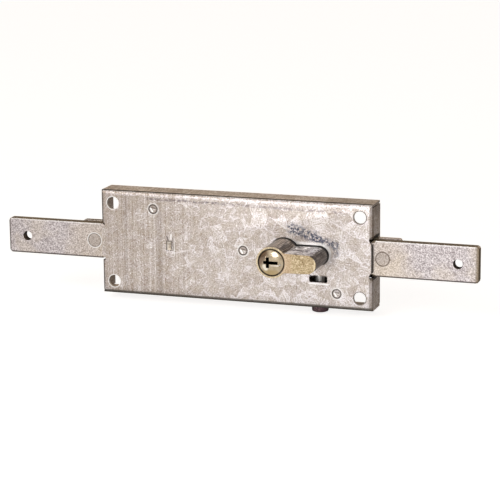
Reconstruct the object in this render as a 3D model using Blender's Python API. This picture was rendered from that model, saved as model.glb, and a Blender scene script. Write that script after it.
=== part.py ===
"""Two-bolt roller-shutter lock with a profile half cylinder, in metres, +Z up.

The origin is the centre of the front plate's outer face. +X runs along the bolts to the right as seen from
the front, and +Y runs into the case. The bolts are shown thrown: a quarter turn of the plug draws both in.
"""

import math

import bmesh
import bpy
from mathutils import Matrix, Vector

# Case: one folded sheet, and a flat cover let in between its walls
CASE_LENGTH = 0.155
CASE_HEIGHT = 0.058
CASE_DEPTH = 0.015
SHEET = 0.0012
BEND_RADIUS = 0.002
SEAM = 0.0005
FLANGE_SHORTFALL = 0.0002
BEND_SEGMENTS = 4
FIXING_INSET = 0.007
FIXING_HOLE_RADIUS = 0.0034
FIXING_ACCESS = 0.0085
COVER_NOTCH_RADIUS = 0.002
SLOT_SHIFT = 0.0011
SLOT_Z = -0.013
SLOT_LENGTH = 0.0102
SLOT_WIDTH = 0.0036

# Distances kept between pieces
SEAT_GAP = 0.0003
COVER_GAP = 0.0003
PROFILE_GAP = 0.0003
WINDOW_GAP = 0.0004

# Pillars that rivet the cover to the front plate. The lower one stands a share of the way from the
# cylinder's screw to the case's end
PIVOT_X = 0.005
UPPER_PILLAR_INSET_X = 0.0308
UPPER_PILLAR_INSET_Z = 0.0091
LOWER_PILLAR_SHARE = 0.365
LOWER_PILLAR_INSET_Z = 0.0087
PILLAR_RADIUS = 0.0038
PIVOT_RADIUS = 0.003
TENON_RADIUS = 0.0025
SPACER_WALL = 0.0015

# Flat guide lug staked in the front plate, which the left slide runs along
LUG_OFFSET = 0.0427
LUG_WIDTH = 0.0027
LUG_TENON_HEIGHT = 0.0049
LUG_HEIGHT = 0.0062

# Bolts: a bar riveted to the front of a slide, its inner end tucked in under the case's tongue. Bar, slide
# and rocker lie one behind the other and share the case's clear depth
BAR_LENGTH = 0.058
BAR_HEIGHT = 0.0196
BAR_SHARE = 0.5
SLIDE_SHARE = 0.3
ROCKER_SHARE = 0.2
COVER_CLEARANCE = 0.0017
BAR_EDGE_RADIUS = 0.0008
BAR_CORNER_RADIUS = 0.0014
BAR_HOLE_INSET = 0.0111
BAR_HOLE_RADIUS = 0.0027
BAR_TUCK = 0.0012
RIVET_INSET = 0.0062
RIVET_HEAD_RADIUS = 0.0038
RIVET_HEAD_DEPTH = 0.002
RIVET_SHANK_RADIUS = 0.0025
RIVET_CLOSED_RADIUS = 0.0036
RIVET_CLOSED_HEIGHT = 0.0008
RIVET_CLOSED_TAPER = 0.0007
SLIDE_HEIGHT = 0.0204
SLIDE_OVERLAP = 0.0149
SLIDE_CORNER_RADIUS = 0.0012
ARM_LOW = 0.009
ARM_WALL_GAP = 0.0043
SHOULDER_HOLE_GAP = 0.0024
STEP_HOLE_GAP = 0.0036
NECK_GAP = 0.0012
GUIDE_GAP = 0.0004
RELIEF_RADIUS = 0.0015
RELIEF_INSET = 0.0002
TONGUE_SHORTFALL = 0.0001

# Profile half cylinder: 33 x 17 x 10 section, its lobe pointing along +X
CYLINDER_X = 0.0285
PROFILE_RADIUS = 0.0085
PROFILE_HEIGHT = 0.033
LOBE_WIDTH = 0.010
CYLINDER_FRONT = 0.0225
CYLINDER_LENGTH = 0.040
CAM_SPACE = 0.0102
FACE_CHAMFER = 0.0003
PLUG_FACE_RADIUS = 0.007
PLUG_FACE_DEPTH = 0.0018
PLUG_DOME = 0.0008
PLUG_DOME_STEPS = 4
PLUG_RADIUS = 0.00625
TAIL_RADIUS = 0.004
TAIL_FLAT = 0.0031
TAIL_SEAT = 0.0019
CLIP_THICKNESS = 0.0007
CLIP_GROOVE_DEPTH = 0.0006
CLIP_RADIUS = 0.0055
CLIP_OPENING_DEGREES = 50
CLIP_LIP_DEGREES = 5
KEYWAY_BLADE = 0.0081
KEYWAY_BLADE_THICKNESS = 0.0017
KEYWAY_CROSS = 0.0058
KEYWAY_CROSS_THICKNESS = 0.0018
KEYWAY_SHIFT = -0.0003
KEYWAY_CROSS_SHIFT = -0.0019
KEYWAY_END_WALL = 0.0016

# Cam: its finger works the right slide's notch over a quarter turn
CAM_REACH = 0.0136
CAM_TIP_RADIUS = 0.0015
CAM_HUB_RADIUS = 0.007
CAM_TURN = math.radians(90)
NOTCH_GAP = 0.0007
NOTCH_MOUTH_RADIUS = 0.0006
CAM_GAP = 0.0006

# Pin stacks in the lobe
PIN_COUNT = 5
PIN_PITCH = 0.004
FIRST_PIN = 0.004
PIN_RADIUS = 0.00125
PIN_GAP = 0.0003
DRIVER_LENGTH = 0.0042
CHAMBER_WALL = 0.002
SPRING_RADIUS = 0.001
SPRING_WIRE = 0.0002
SPRING_TURNS = 5
SPRING_STEPS = 8
SPRING_SIDES = 4

# Rocker that turns the right slide's travel round for the left slide
ROCKER_PIN_INSET = 0.0065
ROCKER_HUB_RADIUS = 0.0062
ROCKER_EYE_RADIUS = 0.0042
ROCKER_PIN_RADIUS = 0.002
ROCKER_PIN_SHANK = 0.0014
ROCKER_PIN_HEAD = 0.0007
PIN_SLOT_GAP = 0.0004
PIN_SLOT_SHARE = 0.98
RUNNING_GAP = 0.0003

# Screw that holds the half cylinder, from below
SCREW_OFFSET = 0.0178
SCREW_RADIUS = 0.0025
SCREW_HEAD_RADIUS = 0.00455
SCREW_HEAD_HEIGHT = 0.003
SCREW_REACH = 0.003
SCREW_POINT = 0.0006
SCREW_SLOT_WIDTH = 0.0012
SCREW_SLOT_DEPTH = 0.0013

# Facets round a full turn
FINE = 40
MEDIUM = 24
COARSE = 12

# Places worked out from the sizes
OUTER_X = CASE_LENGTH / 2
OUTER_Z = CASE_HEIGHT / 2
INNER_X = OUTER_X - SHEET
INNER_Z = OUTER_Z - SHEET
COVER_Y = CASE_DEPTH - SHEET
FIXING_X = OUTER_X - FIXING_INSET
FIXING_Z = OUTER_Z - FIXING_INSET
SCREW_X = CYLINDER_X + SCREW_OFFSET
SLOT_X = SCREW_X + SLOT_SHIFT
UPPER_PILLAR_X = UPPER_PILLAR_INSET_X - OUTER_X
UPPER_PILLAR_Z = OUTER_Z - UPPER_PILLAR_INSET_Z
LOWER_PILLAR_X = SCREW_X + LOWER_PILLAR_SHARE * (OUTER_X - SCREW_X)
LOWER_PILLAR_Z = LOWER_PILLAR_INSET_Z - OUTER_Z
LUG_X = PIVOT_X - LUG_OFFSET

LAYERS = CASE_DEPTH - 2 * SHEET - 2 * SEAT_GAP - RUNNING_GAP - COVER_CLEARANCE
BAR_Y = SHEET + SEAT_GAP
BAR_BACK = BAR_Y + LAYERS * BAR_SHARE
SLIDE_Y = BAR_BACK + SEAT_GAP
SLIDE_BACK = SLIDE_Y + LAYERS * SLIDE_SHARE
ROCKER_Y = SLIDE_BACK + RUNNING_GAP
ROCKER_BACK = ROCKER_Y + LAYERS * ROCKER_SHARE
ARM_HIGH = INNER_Z - ARM_WALL_GAP
ARM_SHOULDER = FIXING_Z - FIXING_HOLE_RADIUS - SHOULDER_HOLE_GAP
ARM_STEP = FIXING_X - FIXING_HOLE_RADIUS - STEP_HOLE_GAP
ROCKER_ARM = ARM_HIGH - ROCKER_PIN_INSET
BAR_INNER = OUTER_X - BAR_TUCK
BAR_OUTER = BAR_INNER + BAR_LENGTH
RIVET_X = BAR_INNER + RIVET_INSET
SLIDE_END = BAR_INNER + SLIDE_OVERLAP
SHOULDER_X = INNER_X - SEAT_GAP
WINDOW_HALF = SLIDE_HEIGHT / 2 + WINDOW_GAP
WINDOW_BACK = SLIDE_BACK + SEAT_GAP + RIVET_CLOSED_HEIGHT + WINDOW_GAP

LOBE_REACH = PROFILE_HEIGHT - PROFILE_RADIUS
LOBE_HALF = LOBE_WIDTH / 2
CYLINDER_BACK = CYLINDER_LENGTH - CYLINDER_FRONT
CAM_Y = CASE_DEPTH / 2
CAM_LOW = CAM_Y - CAM_SPACE / 2
CAM_HIGH = CAM_Y + CAM_SPACE / 2
CAM_CENTRE_REACH = CAM_REACH - CAM_TIP_RADIUS
HALF_THROW = CAM_CENTRE_REACH * math.sin(CAM_TURN / 2)
THROW = 2 * HALF_THROW
PLUG_BORE = PLUG_RADIUS + RUNNING_GAP
CHAMBER_RADIUS = PIN_RADIUS + PIN_GAP
ROCKER_SWING = math.asin(HALF_THROW / ROCKER_ARM)

GALVANISED = ("galvanised_sheet", (0.60, 0.58, 0.54), 0.42, 1.0)
COVER_ZINC = ("zinc_cover", (0.55, 0.54, 0.52), 0.45, 1.0)
BOLT_ZINC = ("zinc_bolt", (0.58, 0.55, 0.49), 0.5, 1.0)
STEEL = ("plain_steel", (0.52, 0.51, 0.50), 0.38, 1.0)
BODY_METAL = ("cylinder_brass", (0.62, 0.52, 0.30), 0.36, 1.0)
PLUG_METAL = ("plug_brass", (0.70, 0.60, 0.38), 0.22, 1.0)
CAM_METAL = ("sintered_cam", (0.36, 0.35, 0.34), 0.55, 1.0)
PIN_METAL = ("pin_brass", (0.72, 0.60, 0.30), 0.3, 1.0)
SPRING_METAL = ("spring_wire", (0.60, 0.60, 0.60), 0.3, 1.0)
SCREW_METAL = ("dark_screw", (0.10, 0.06, 0.08), 0.45, 1.0)


def clear_scene():
    for old in list(bpy.data.objects):
        bpy.data.objects.remove(old, do_unlink=True)


def material_of(finish, owner):
    name, colour, roughness, metallic = finish
    made = bpy.data.materials.new(f"{owner}_{name}")
    made.use_nodes = True
    shader = made.node_tree.nodes["Principled BSDF"]
    shader.inputs["Base Color"].default_value = (*colour, 1.0)
    shader.inputs["Roughness"].default_value = roughness
    shader.inputs["Metallic"].default_value = metallic
    made.diffuse_color = (*colour, 1.0)
    return made


def empty_at(name, place):
    made = bpy.data.objects.new(name, None)
    made.location = place
    bpy.context.scene.collection.objects.link(made)
    return made


def object_of(name, bm, finish, carrier=None, smooth=True):
    """A named object from a mesh in world places, moved into its carrier's frame."""
    bmesh.ops.recalc_face_normals(bm, faces=bm.faces)
    if carrier:
        bmesh.ops.translate(bm, verts=bm.verts, vec=-carrier.location)
    mesh = bpy.data.meshes.new(name)
    bm.to_mesh(mesh)
    bm.free()
    if smooth:
        mesh.shade_smooth()
        mesh.set_sharp_from_angle(angle=math.radians(30))
    made = bpy.data.objects.new(name, mesh)
    made.parent = carrier
    mesh.materials.append(material_of(finish, name))
    bpy.context.scene.collection.objects.link(made)
    return made


def boolean(target, name, bm, operation="DIFFERENCE"):
    """Cut or join with a hidden tool object, carried by what it shapes."""
    tool = object_of(name, bm, STEEL, target.parent, smooth=False)
    tool.hide_render = True
    tool.display_type = "WIRE"
    step = target.modifiers.new(name, "BOOLEAN")
    step.operation = operation
    step.solver = "EXACT"
    step.object = tool


def at(axis, a, b, along):
    """A point at (a, b) across an axis and at a distance along it."""
    return {"X": Vector((along, a, b)), "Y": Vector((a, along, b)), "Z": Vector((a, b, along))}[axis]


def add_prism(bm, outline, low, high, axis="Y"):
    bottom = [bm.verts.new(at(axis, a, b, low)) for a, b in outline]
    top = [bm.verts.new(at(axis, a, b, high)) for a, b in outline]
    bm.faces.new(bottom)
    bm.faces.new(top[::-1])
    for k in range(len(outline)):
        n = (k + 1) % len(outline)
        bm.faces.new((bottom[k], top[k], top[n], bottom[n]))


def prism(outline, low, high, axis="Y"):
    bm = bmesh.new()
    add_prism(bm, outline, low, high, axis)
    return bm


def add_turned(bm, profile, centre, axis="Y", facets=MEDIUM, ring=False):
    """Turn (radius, along) points round an axis: a capped solid, or a ring from a closed profile."""
    rings = []
    for radius, along in profile:
        turn = [2 * math.pi * k / facets for k in range(facets)]
        points = [(centre[0] + radius * math.cos(t), centre[1] + radius * math.sin(t)) for t in turn]
        rings.append([bm.verts.new(at(axis, a, b, along)) for a, b in points])
    pairs = list(zip(rings, rings[1:]))
    if ring:
        pairs.append((rings[-1], rings[0]))
    else:
        bm.faces.new(rings[0])
        bm.faces.new(rings[-1][::-1])
    for first, second in pairs:
        for k in range(facets):
            n = (k + 1) % facets
            bm.faces.new((first[k], second[k], second[n], first[n]))


def turned(profile, centre, axis="Y", facets=MEDIUM, ring=False):
    bm = bmesh.new()
    add_turned(bm, profile, centre, axis, facets, ring)
    return bm


def arc(centre, radius, start, end, facets):
    """Points on an arc from start to end in degrees, ends included."""
    steps = max(2, round(abs(end - start) / 360 * facets))
    angles = [math.radians(start + (end - start) * k / steps) for k in range(steps + 1)]
    return [(centre[0] + radius * math.cos(t), centre[1] + radius * math.sin(t)) for t in angles]


def circle(centre, radius, facets=MEDIUM):
    return arc(centre, radius, 0, 360, facets)[:-1]


def rectangle(x_low, x_high, z_low, z_high):
    return [(x_low, z_low), (x_high, z_low), (x_high, z_high), (x_low, z_high)]


def rounded_rectangle(x_low, x_high, z_low, z_high, radius, facets=COARSE):
    corners = (
        ((x_high - radius, z_high - radius), 0),
        ((x_low + radius, z_high - radius), 90),
        ((x_low + radius, z_low + radius), 180),
        ((x_high - radius, z_low + radius), 270),
    )
    return [p for centre, start in corners for p in arc(centre, radius, start, start + 90, facets)]


def rounded_outline(points, facets=COARSE):
    """A closed outline of (x, z, fillet radius) corners, each rounded by its own radius."""
    made = []
    count = len(points)
    for k, (x, z, radius) in enumerate(points):
        corner = Vector((x, z))
        if radius == 0:
            made.append((x, z))
            continue
        to_last = (Vector(points[k - 1][:2]) - corner).normalized()
        to_next = (Vector(points[(k + 1) % count][:2]) - corner).normalized()
        half = to_last.angle(to_next) / 2
        centre = corner + (to_last + to_next).normalized() * radius / math.sin(half)
        first = corner + to_last * radius / math.tan(half) - centre
        last = corner + to_next * radius / math.tan(half) - centre
        swing = first.angle_signed(last)
        steps = max(1, round(abs(swing) / (2 * math.pi) * facets))
        for s in range(steps + 1):
            turn = Matrix.Rotation(-swing * s / steps, 2)
            made.append(tuple(centre + turn @ first))
    return made


def profile_outline(gap, facets=FINE):
    """The half cylinder's section round its plug axis, grown all round by a gap."""
    radius = PROFILE_RADIUS + gap
    half = LOBE_HALF + gap
    open_angle = math.degrees(math.asin(half / radius))
    body = arc((CYLINDER_X, 0), radius, open_angle, 360 - open_angle, facets)
    lobe_end = (CYLINDER_X + LOBE_REACH - LOBE_HALF, 0)
    return body + arc(lobe_end, half, -90, 90, facets)


def flatted(radius, half_flat, facets=MEDIUM):
    """A circle round the plug axis with two flats, as the plug's driving tail has."""
    edge = math.degrees(math.asin(half_flat / radius))
    right = arc((CYLINDER_X, 0), radius, -edge, edge, facets)
    left = arc((CYLINDER_X, 0), radius, 180 - edge, 180 + edge, facets)
    return right + left


def soften(bm, edges, radius, segments):
    """Round these edges off, or chamfer them where one segment is asked for."""
    bmesh.ops.bevel(
        bm,
        geom=edges,
        offset=radius,
        offset_type="OFFSET",
        segments=segments,
        profile=0.5,
        affect="EDGES",
        material=-1,
    )


def bent_box(x_half, z_half, front, back, radius):
    """A box whose four front edges are bends of one radius."""
    bm = prism(rectangle(-x_half, x_half, -z_half, z_half), front, back)
    bends = [e for e in bm.edges if all(abs(v.co.y - front) < 1e-7 for v in e.verts)]
    soften(bm, bends, radius, BEND_SEGMENTS)
    return bm


def pillar_places():
    return (
        (UPPER_PILLAR_X, UPPER_PILLAR_Z),
        (PIVOT_X, 0.0),
        (LOWER_PILLAR_X, LOWER_PILLAR_Z),
    )


def case_seams():
    """Gaps at the four corners, where the top and bottom flanges overlap the side walls' ends."""
    bm = bmesh.new()
    clear = 0.001
    flange_end = OUTER_X - FLANGE_SHORTFALL
    for side in (-1, 1):
        for level in (-1, 1):
            corner = [
                (INNER_X - clear, INNER_Z - SEAM),
                (OUTER_X + clear, INNER_Z - SEAM),
                (OUTER_X + clear, OUTER_Z + clear),
                (flange_end, OUTER_Z + clear),
                (flange_end, INNER_Z),
                (INNER_X - clear, INNER_Z),
            ]
            outline = [(side * x, level * z) for x, z in corner]
            add_prism(bm, outline, SHEET / 2, CASE_DEPTH + clear)
    return bm


def case_windows():
    bm = bmesh.new()
    for side in (-1, 1):
        x_low, x_high = sorted((side * (OUTER_X - BEND_RADIUS), side * (OUTER_X + BEND_RADIUS)))
        add_prism(bm, rectangle(x_low, x_high, -WINDOW_HALF, WINDOW_HALF), -BEND_RADIUS, WINDOW_BACK)
    return bm


def case_tongues():
    """The front plate runs out flat over each window, between two relief holes."""
    bm = bmesh.new()
    for side in (-1, 1):
        root = OUTER_X - BEND_RADIUS - SHEET
        x_low, x_high = sorted((side * root, side * (OUTER_X - TONGUE_SHORTFALL)))
        half = WINDOW_HALF - RELIEF_RADIUS
        add_prism(bm, rectangle(x_low, x_high, -half, half), 0.0, SHEET)
    return bm


def case_front_holes():
    bm = bmesh.new()
    low, high = -SHEET, 2 * SHEET
    add_prism(bm, profile_outline(PROFILE_GAP), low, high)
    half, rise = SLOT_LENGTH / 2, SLOT_WIDTH / 2
    slot = (SLOT_X - half, SLOT_X + half, SLOT_Z - rise, SLOT_Z + rise)
    add_prism(bm, rounded_rectangle(*slot, rise / 2), low, high)
    for place in pillar_places():
        add_prism(bm, circle(place, TENON_RADIUS + SEAT_GAP), low, high)
    lug_half = LUG_WIDTH / 2 + SEAT_GAP
    lug_rise = LUG_TENON_HEIGHT / 2 + SEAT_GAP
    add_prism(bm, rectangle(LUG_X - lug_half, LUG_X + lug_half, -lug_rise, lug_rise), low, high)
    return bm


def case_end_holes():
    """Fixing holes in the corners, and the relief holes at each tongue's root."""
    bm = bmesh.new()
    low, high = -SHEET, 2 * SHEET
    for side in (-1, 1):
        for level in (-1, 1):
            add_prism(bm, circle((side * FIXING_X, level * FIXING_Z), FIXING_HOLE_RADIUS), low, high)
            relief = (side * (OUTER_X - RELIEF_INSET), level * (WINDOW_HALF - RELIEF_RADIUS))
            add_prism(bm, circle(relief, RELIEF_RADIUS, COARSE), low, high)
    return bm


def make_case():
    case = object_of("case", bent_box(OUTER_X, OUTER_Z, 0.0, CASE_DEPTH, BEND_RADIUS), GALVANISED)
    inside = bent_box(INNER_X, INNER_Z, SHEET, 2 * CASE_DEPTH, BEND_RADIUS - SHEET)
    boolean(case, "case_inside", inside)
    boolean(case, "case_windows", case_windows())
    boolean(case, "case_tongues", case_tongues(), "UNION")
    boolean(case, "case_seams", case_seams())
    boolean(case, "case_front_holes", case_front_holes())
    boolean(case, "case_end_holes", case_end_holes())
    screw_hole = circle((SCREW_X, CAM_Y), SCREW_RADIUS + SEAT_GAP)
    boolean(case, "case_screw_hole", prism(screw_hole, -OUTER_Z - SHEET, -INNER_Z + SHEET, "Z"))
    return case


def cover_outline():
    """A plate between the walls, its corners cut back so that the fixing screws' nuts can be reached."""
    x_end, z_end = INNER_X - COVER_GAP, INNER_Z - COVER_GAP
    x_step, z_step = FIXING_X - FIXING_ACCESS, FIXING_Z - FIXING_ACCESS
    quarter = [(x_end, z_step, 0), (x_step, z_step, COVER_NOTCH_RADIUS), (x_step, z_end, 0)]
    points = quarter + [(-x, z, r) for x, z, r in quarter[::-1]]
    points += [(-x, -z, r) for x, z, r in quarter]
    points += [(x, -z, r) for x, z, r in quarter[::-1]]
    return rounded_outline(points)


def make_cover():
    cover = object_of("back_cover", prism(cover_outline(), COVER_Y, CASE_DEPTH), COVER_ZINC)
    holes = bmesh.new()
    low, high = COVER_Y - SHEET, CASE_DEPTH + SHEET
    add_prism(holes, profile_outline(PROFILE_GAP), low, high)
    for place in pillar_places():
        add_prism(holes, circle(place, TENON_RADIUS + SEAT_GAP), low, high)
    boolean(cover, "cover_holes", holes)
    return cover


def pillar_profile(radius):
    """A post with a riveted tenon flush in each plate."""
    front, back = SHEET + SEAT_GAP, COVER_Y - SEAT_GAP
    return [
        (TENON_RADIUS, 0.0),
        (TENON_RADIUS, front),
        (radius, front),
        (radius, back),
        (TENON_RADIUS, back),
        (TENON_RADIUS, CASE_DEPTH),
    ]


def make_pillars():
    names = ("upper_left_pillar", "pivot_pillar", "lower_right_pillar")
    radii = (PILLAR_RADIUS, PIVOT_RADIUS, PILLAR_RADIUS)
    for name, place, radius in zip(names, pillar_places(), radii):
        object_of(name, turned(pillar_profile(radius), place), STEEL)


def ring_profile(inner, outer, low, high):
    return [(inner, low), (outer, low), (outer, high), (inner, high)]


def make_pivot_rings():
    inner = PIVOT_RADIUS + RUNNING_GAP
    outer = inner + SPACER_WALL
    spacer = ring_profile(inner, outer, SHEET + SEAT_GAP, ROCKER_Y - RUNNING_GAP)
    object_of("pivot_spacer", turned(spacer, (PIVOT_X, 0), ring=True), STEEL)
    washer = ring_profile(inner, outer + SPACER_WALL, ROCKER_BACK + RUNNING_GAP, COVER_Y - SEAT_GAP)
    object_of("pivot_washer", turned(washer, (PIVOT_X, 0), ring=True), STEEL)


def make_lug():
    lug = bmesh.new()
    half = LUG_WIDTH / 2
    tenon, body = LUG_TENON_HEIGHT / 2, LUG_HEIGHT / 2
    shoulder, back = SHEET + SEAT_GAP, COVER_Y - SEAT_GAP
    side = [(0.0, -tenon), (shoulder, -tenon), (shoulder, -body), (back, -body)]
    side += [(y, -z) for y, z in side[::-1]]
    add_prism(lug, side, LUG_X - half, LUG_X + half, "X")
    object_of("guide_lug", lug, STEEL, smooth=False)


def make_bar(side, carrier, word):
    """A flat bar with softened edges, a blind seat for the rivet's head and a hole at its outer end."""
    x_low, x_high = sorted((side * BAR_INNER, side * BAR_OUTER))
    half = BAR_HEIGHT / 2
    outline = rounded_rectangle(x_low, x_high, -half, half, BAR_CORNER_RADIUS, MEDIUM)
    bm = prism(outline, BAR_Y, BAR_BACK)
    rims = [e for e in bm.edges if abs(e.verts[0].co.y - e.verts[1].co.y) < 1e-7]
    soften(bm, rims, BAR_EDGE_RADIUS, 2)
    bar = object_of(f"{word}_bolt_bar", bm, BOLT_ZINC, carrier)
    holes = bmesh.new()
    seat = [
        (RIVET_HEAD_RADIUS + SEAT_GAP, BAR_Y - SHEET),
        (RIVET_HEAD_RADIUS + SEAT_GAP, BAR_Y + RIVET_HEAD_DEPTH + SEAT_GAP),
        (RIVET_SHANK_RADIUS + SEAT_GAP, BAR_Y + RIVET_HEAD_DEPTH + SEAT_GAP),
        (RIVET_SHANK_RADIUS + SEAT_GAP, SLIDE_BACK),
    ]
    add_turned(holes, seat, (side * RIVET_X, 0))
    end_hole = circle((side * (BAR_OUTER - BAR_HOLE_INSET), 0), BAR_HOLE_RADIUS)
    add_prism(holes, end_hole, BAR_Y - SHEET, SLIDE_BACK)
    boolean(bar, f"{word}_bar_holes", holes)


def make_rivet(side, carrier, word):
    """Its flat head lies flush in the bar, and its closed end grips the back of the slide."""
    closed = SLIDE_BACK + SEAT_GAP
    profile = [
        (RIVET_HEAD_RADIUS, BAR_Y),
        (RIVET_HEAD_RADIUS, BAR_Y + RIVET_HEAD_DEPTH),
        (RIVET_SHANK_RADIUS, BAR_Y + RIVET_HEAD_DEPTH),
        (RIVET_SHANK_RADIUS, closed),
        (RIVET_CLOSED_RADIUS, closed),
        (RIVET_CLOSED_RADIUS - RIVET_CLOSED_TAPER, closed + RIVET_CLOSED_HEIGHT),
    ]
    object_of(f"{word}_bolt_rivet", turned(profile, (side * RIVET_X, 0)), BOLT_ZINC, carrier)


def pin_slot(x, level):
    """The slot that a rocker pin works in, upright, as the pin rises and falls while it swings."""
    half = ROCKER_PIN_RADIUS + PIN_SLOT_GAP
    low = ROCKER_ARM * math.cos(ROCKER_SWING) - half
    high = ROCKER_ARM + half
    z_low, z_high = sorted((level * low, level * high))
    return rounded_rectangle(x - half, x + half, z_low, z_high, half * PIN_SLOT_SHARE, MEDIUM)


def make_right_slide(carrier):
    """Tail through the window, neck past the cylinder's lobe, and an arm over it with the cam's notch."""
    tail = SLIDE_HEIGHT / 2
    corner = SLIDE_CORNER_RADIUS
    neck = CYLINDER_X + LOBE_REACH + NECK_GAP + THROW
    pin_x = PIVOT_X + HALF_THROW
    arm_end = pin_x - ROCKER_EYE_RADIUS - corner
    notch_x = CYLINDER_X + HALF_THROW
    notch_half = CAM_TIP_RADIUS + NOTCH_GAP
    notch_top = CAM_REACH + CAM_GAP
    outline = [
        (SLIDE_END, -tail, corner),
        (SLIDE_END, tail, corner),
        (SHOULDER_X, tail, 0),
        (SHOULDER_X, ARM_SHOULDER, corner),
        (ARM_STEP, ARM_SHOULDER, corner),
        (ARM_STEP, ARM_HIGH, corner),
        (arm_end, ARM_HIGH, corner),
        (arm_end, ARM_LOW, corner),
        (notch_x - notch_half, ARM_LOW, NOTCH_MOUTH_RADIUS),
        (notch_x - notch_half, notch_top, 0),
        (notch_x + notch_half, notch_top, 0),
        (notch_x + notch_half, ARM_LOW, NOTCH_MOUTH_RADIUS),
        (neck, ARM_LOW, corner),
        (neck, -tail, corner),
    ]
    plate = prism(rounded_outline(outline), SLIDE_Y, SLIDE_BACK)
    slide = object_of("right_slide", plate, BOLT_ZINC, carrier)
    holes = bmesh.new()
    low, high = SLIDE_Y - SHEET, SLIDE_BACK + SHEET
    add_prism(holes, pin_slot(pin_x, 1), low, high)
    add_prism(holes, circle((RIVET_X, 0), RIVET_SHANK_RADIUS + SEAT_GAP), low, high)
    boolean(slide, "right_slide_holes", holes)


def make_left_slide(carrier):
    """Tail through the window, a plate that runs along the guide lug, and an arm low down to the rocker."""
    tail = SLIDE_HEIGHT / 2
    corner = SLIDE_CORNER_RADIUS
    pin_x = PIVOT_X - HALF_THROW
    arm_end = pin_x + ROCKER_EYE_RADIUS + corner
    plate_end = pin_x - ROCKER_EYE_RADIUS - corner - NECK_GAP - THROW
    outline = [
        (-SLIDE_END, -tail, corner),
        (-SHOULDER_X, -tail, 0),
        (-SHOULDER_X, -ARM_SHOULDER, corner),
        (-ARM_STEP, -ARM_SHOULDER, corner),
        (-ARM_STEP, -ARM_HIGH, corner),
        (arm_end, -ARM_HIGH, corner),
        (arm_end, -ARM_LOW, corner),
        (plate_end, -ARM_LOW, 0),
        (plate_end, tail, corner),
        (-SLIDE_END, tail, corner),
    ]
    plate = prism(rounded_outline(outline), SLIDE_Y, SLIDE_BACK)
    slide = object_of("left_slide", plate, BOLT_ZINC, carrier)
    holes = bmesh.new()
    low, high = SLIDE_Y - SHEET, SLIDE_BACK + SHEET
    add_prism(holes, pin_slot(pin_x, -1), low, high)
    add_prism(holes, circle((-RIVET_X, 0), RIVET_SHANK_RADIUS + SEAT_GAP), low, high)
    left = LUG_X - LUG_WIDTH / 2 - GUIDE_GAP - THROW
    right = LUG_X + LUG_WIDTH / 2 + GUIDE_GAP
    rise = LUG_HEIGHT / 2 + GUIDE_GAP
    add_prism(holes, rounded_rectangle(left, right, -rise, rise, GUIDE_GAP), low, high)
    boolean(slide, "left_slide_holes", holes)


def make_bolts():
    for side, word, make_slide in ((1, "right", make_right_slide), (-1, "left", make_left_slide)):
        carrier = empty_at(f"{word}_bolt", (side * OUTER_X, SLIDE_Y, 0.0))
        make_slide(carrier)
        make_bar(side, carrier, word)
        make_rivet(side, carrier, word)


def make_rocker():
    """A two-armed lever on the pivot pillar, its upper end leaning to the right while the bolts are out."""
    carrier = empty_at("rocker_axis", (PIVOT_X, ROCKER_Y, 0.0))
    upper = arc((0, ROCKER_ARM), ROCKER_EYE_RADIUS, 0, 180, MEDIUM)
    lower = arc((0, -ROCKER_ARM), ROCKER_EYE_RADIUS, 180, 360, MEDIUM)
    upright = [(ROCKER_HUB_RADIUS, 0)] + upper + [(-ROCKER_HUB_RADIUS, 0)] + lower
    lean = Matrix.Rotation(-ROCKER_SWING, 2)
    outline = [tuple(lean @ Vector(p) + Vector((PIVOT_X, 0))) for p in upright]
    rocker = object_of("rocker", prism(outline, ROCKER_Y, ROCKER_BACK), STEEL, carrier)
    holes = bmesh.new()
    low, high = ROCKER_Y - SHEET, ROCKER_BACK + SHEET
    add_prism(holes, circle((PIVOT_X, 0), PIVOT_RADIUS + RUNNING_GAP), low, high)
    for level, word in ((1, "upper"), (-1, "lower")):
        place = (PIVOT_X + level * HALF_THROW, level * ROCKER_ARM * math.cos(ROCKER_SWING))
        add_prism(holes, circle(place, ROCKER_PIN_SHANK + SEAT_GAP), low, high)
        head = ROCKER_BACK + SEAT_GAP
        pin = [
            (ROCKER_PIN_RADIUS, SLIDE_Y),
            (ROCKER_PIN_RADIUS, ROCKER_Y - SEAT_GAP),
            (ROCKER_PIN_SHANK, ROCKER_Y - SEAT_GAP),
            (ROCKER_PIN_SHANK, head),
            (ROCKER_PIN_RADIUS, head),
            (ROCKER_PIN_SHANK, head + ROCKER_PIN_HEAD),
        ]
        object_of(f"rocker_{word}_pin", turned(pin, place), STEEL, carrier)
    boolean(rocker, "rocker_holes", holes)


def pin_rows():
    """Places of the pin stacks along the cylinder, from the front."""
    return [-CYLINDER_FRONT + FIRST_PIN + PIN_PITCH * k for k in range(PIN_COUNT)]


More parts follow.
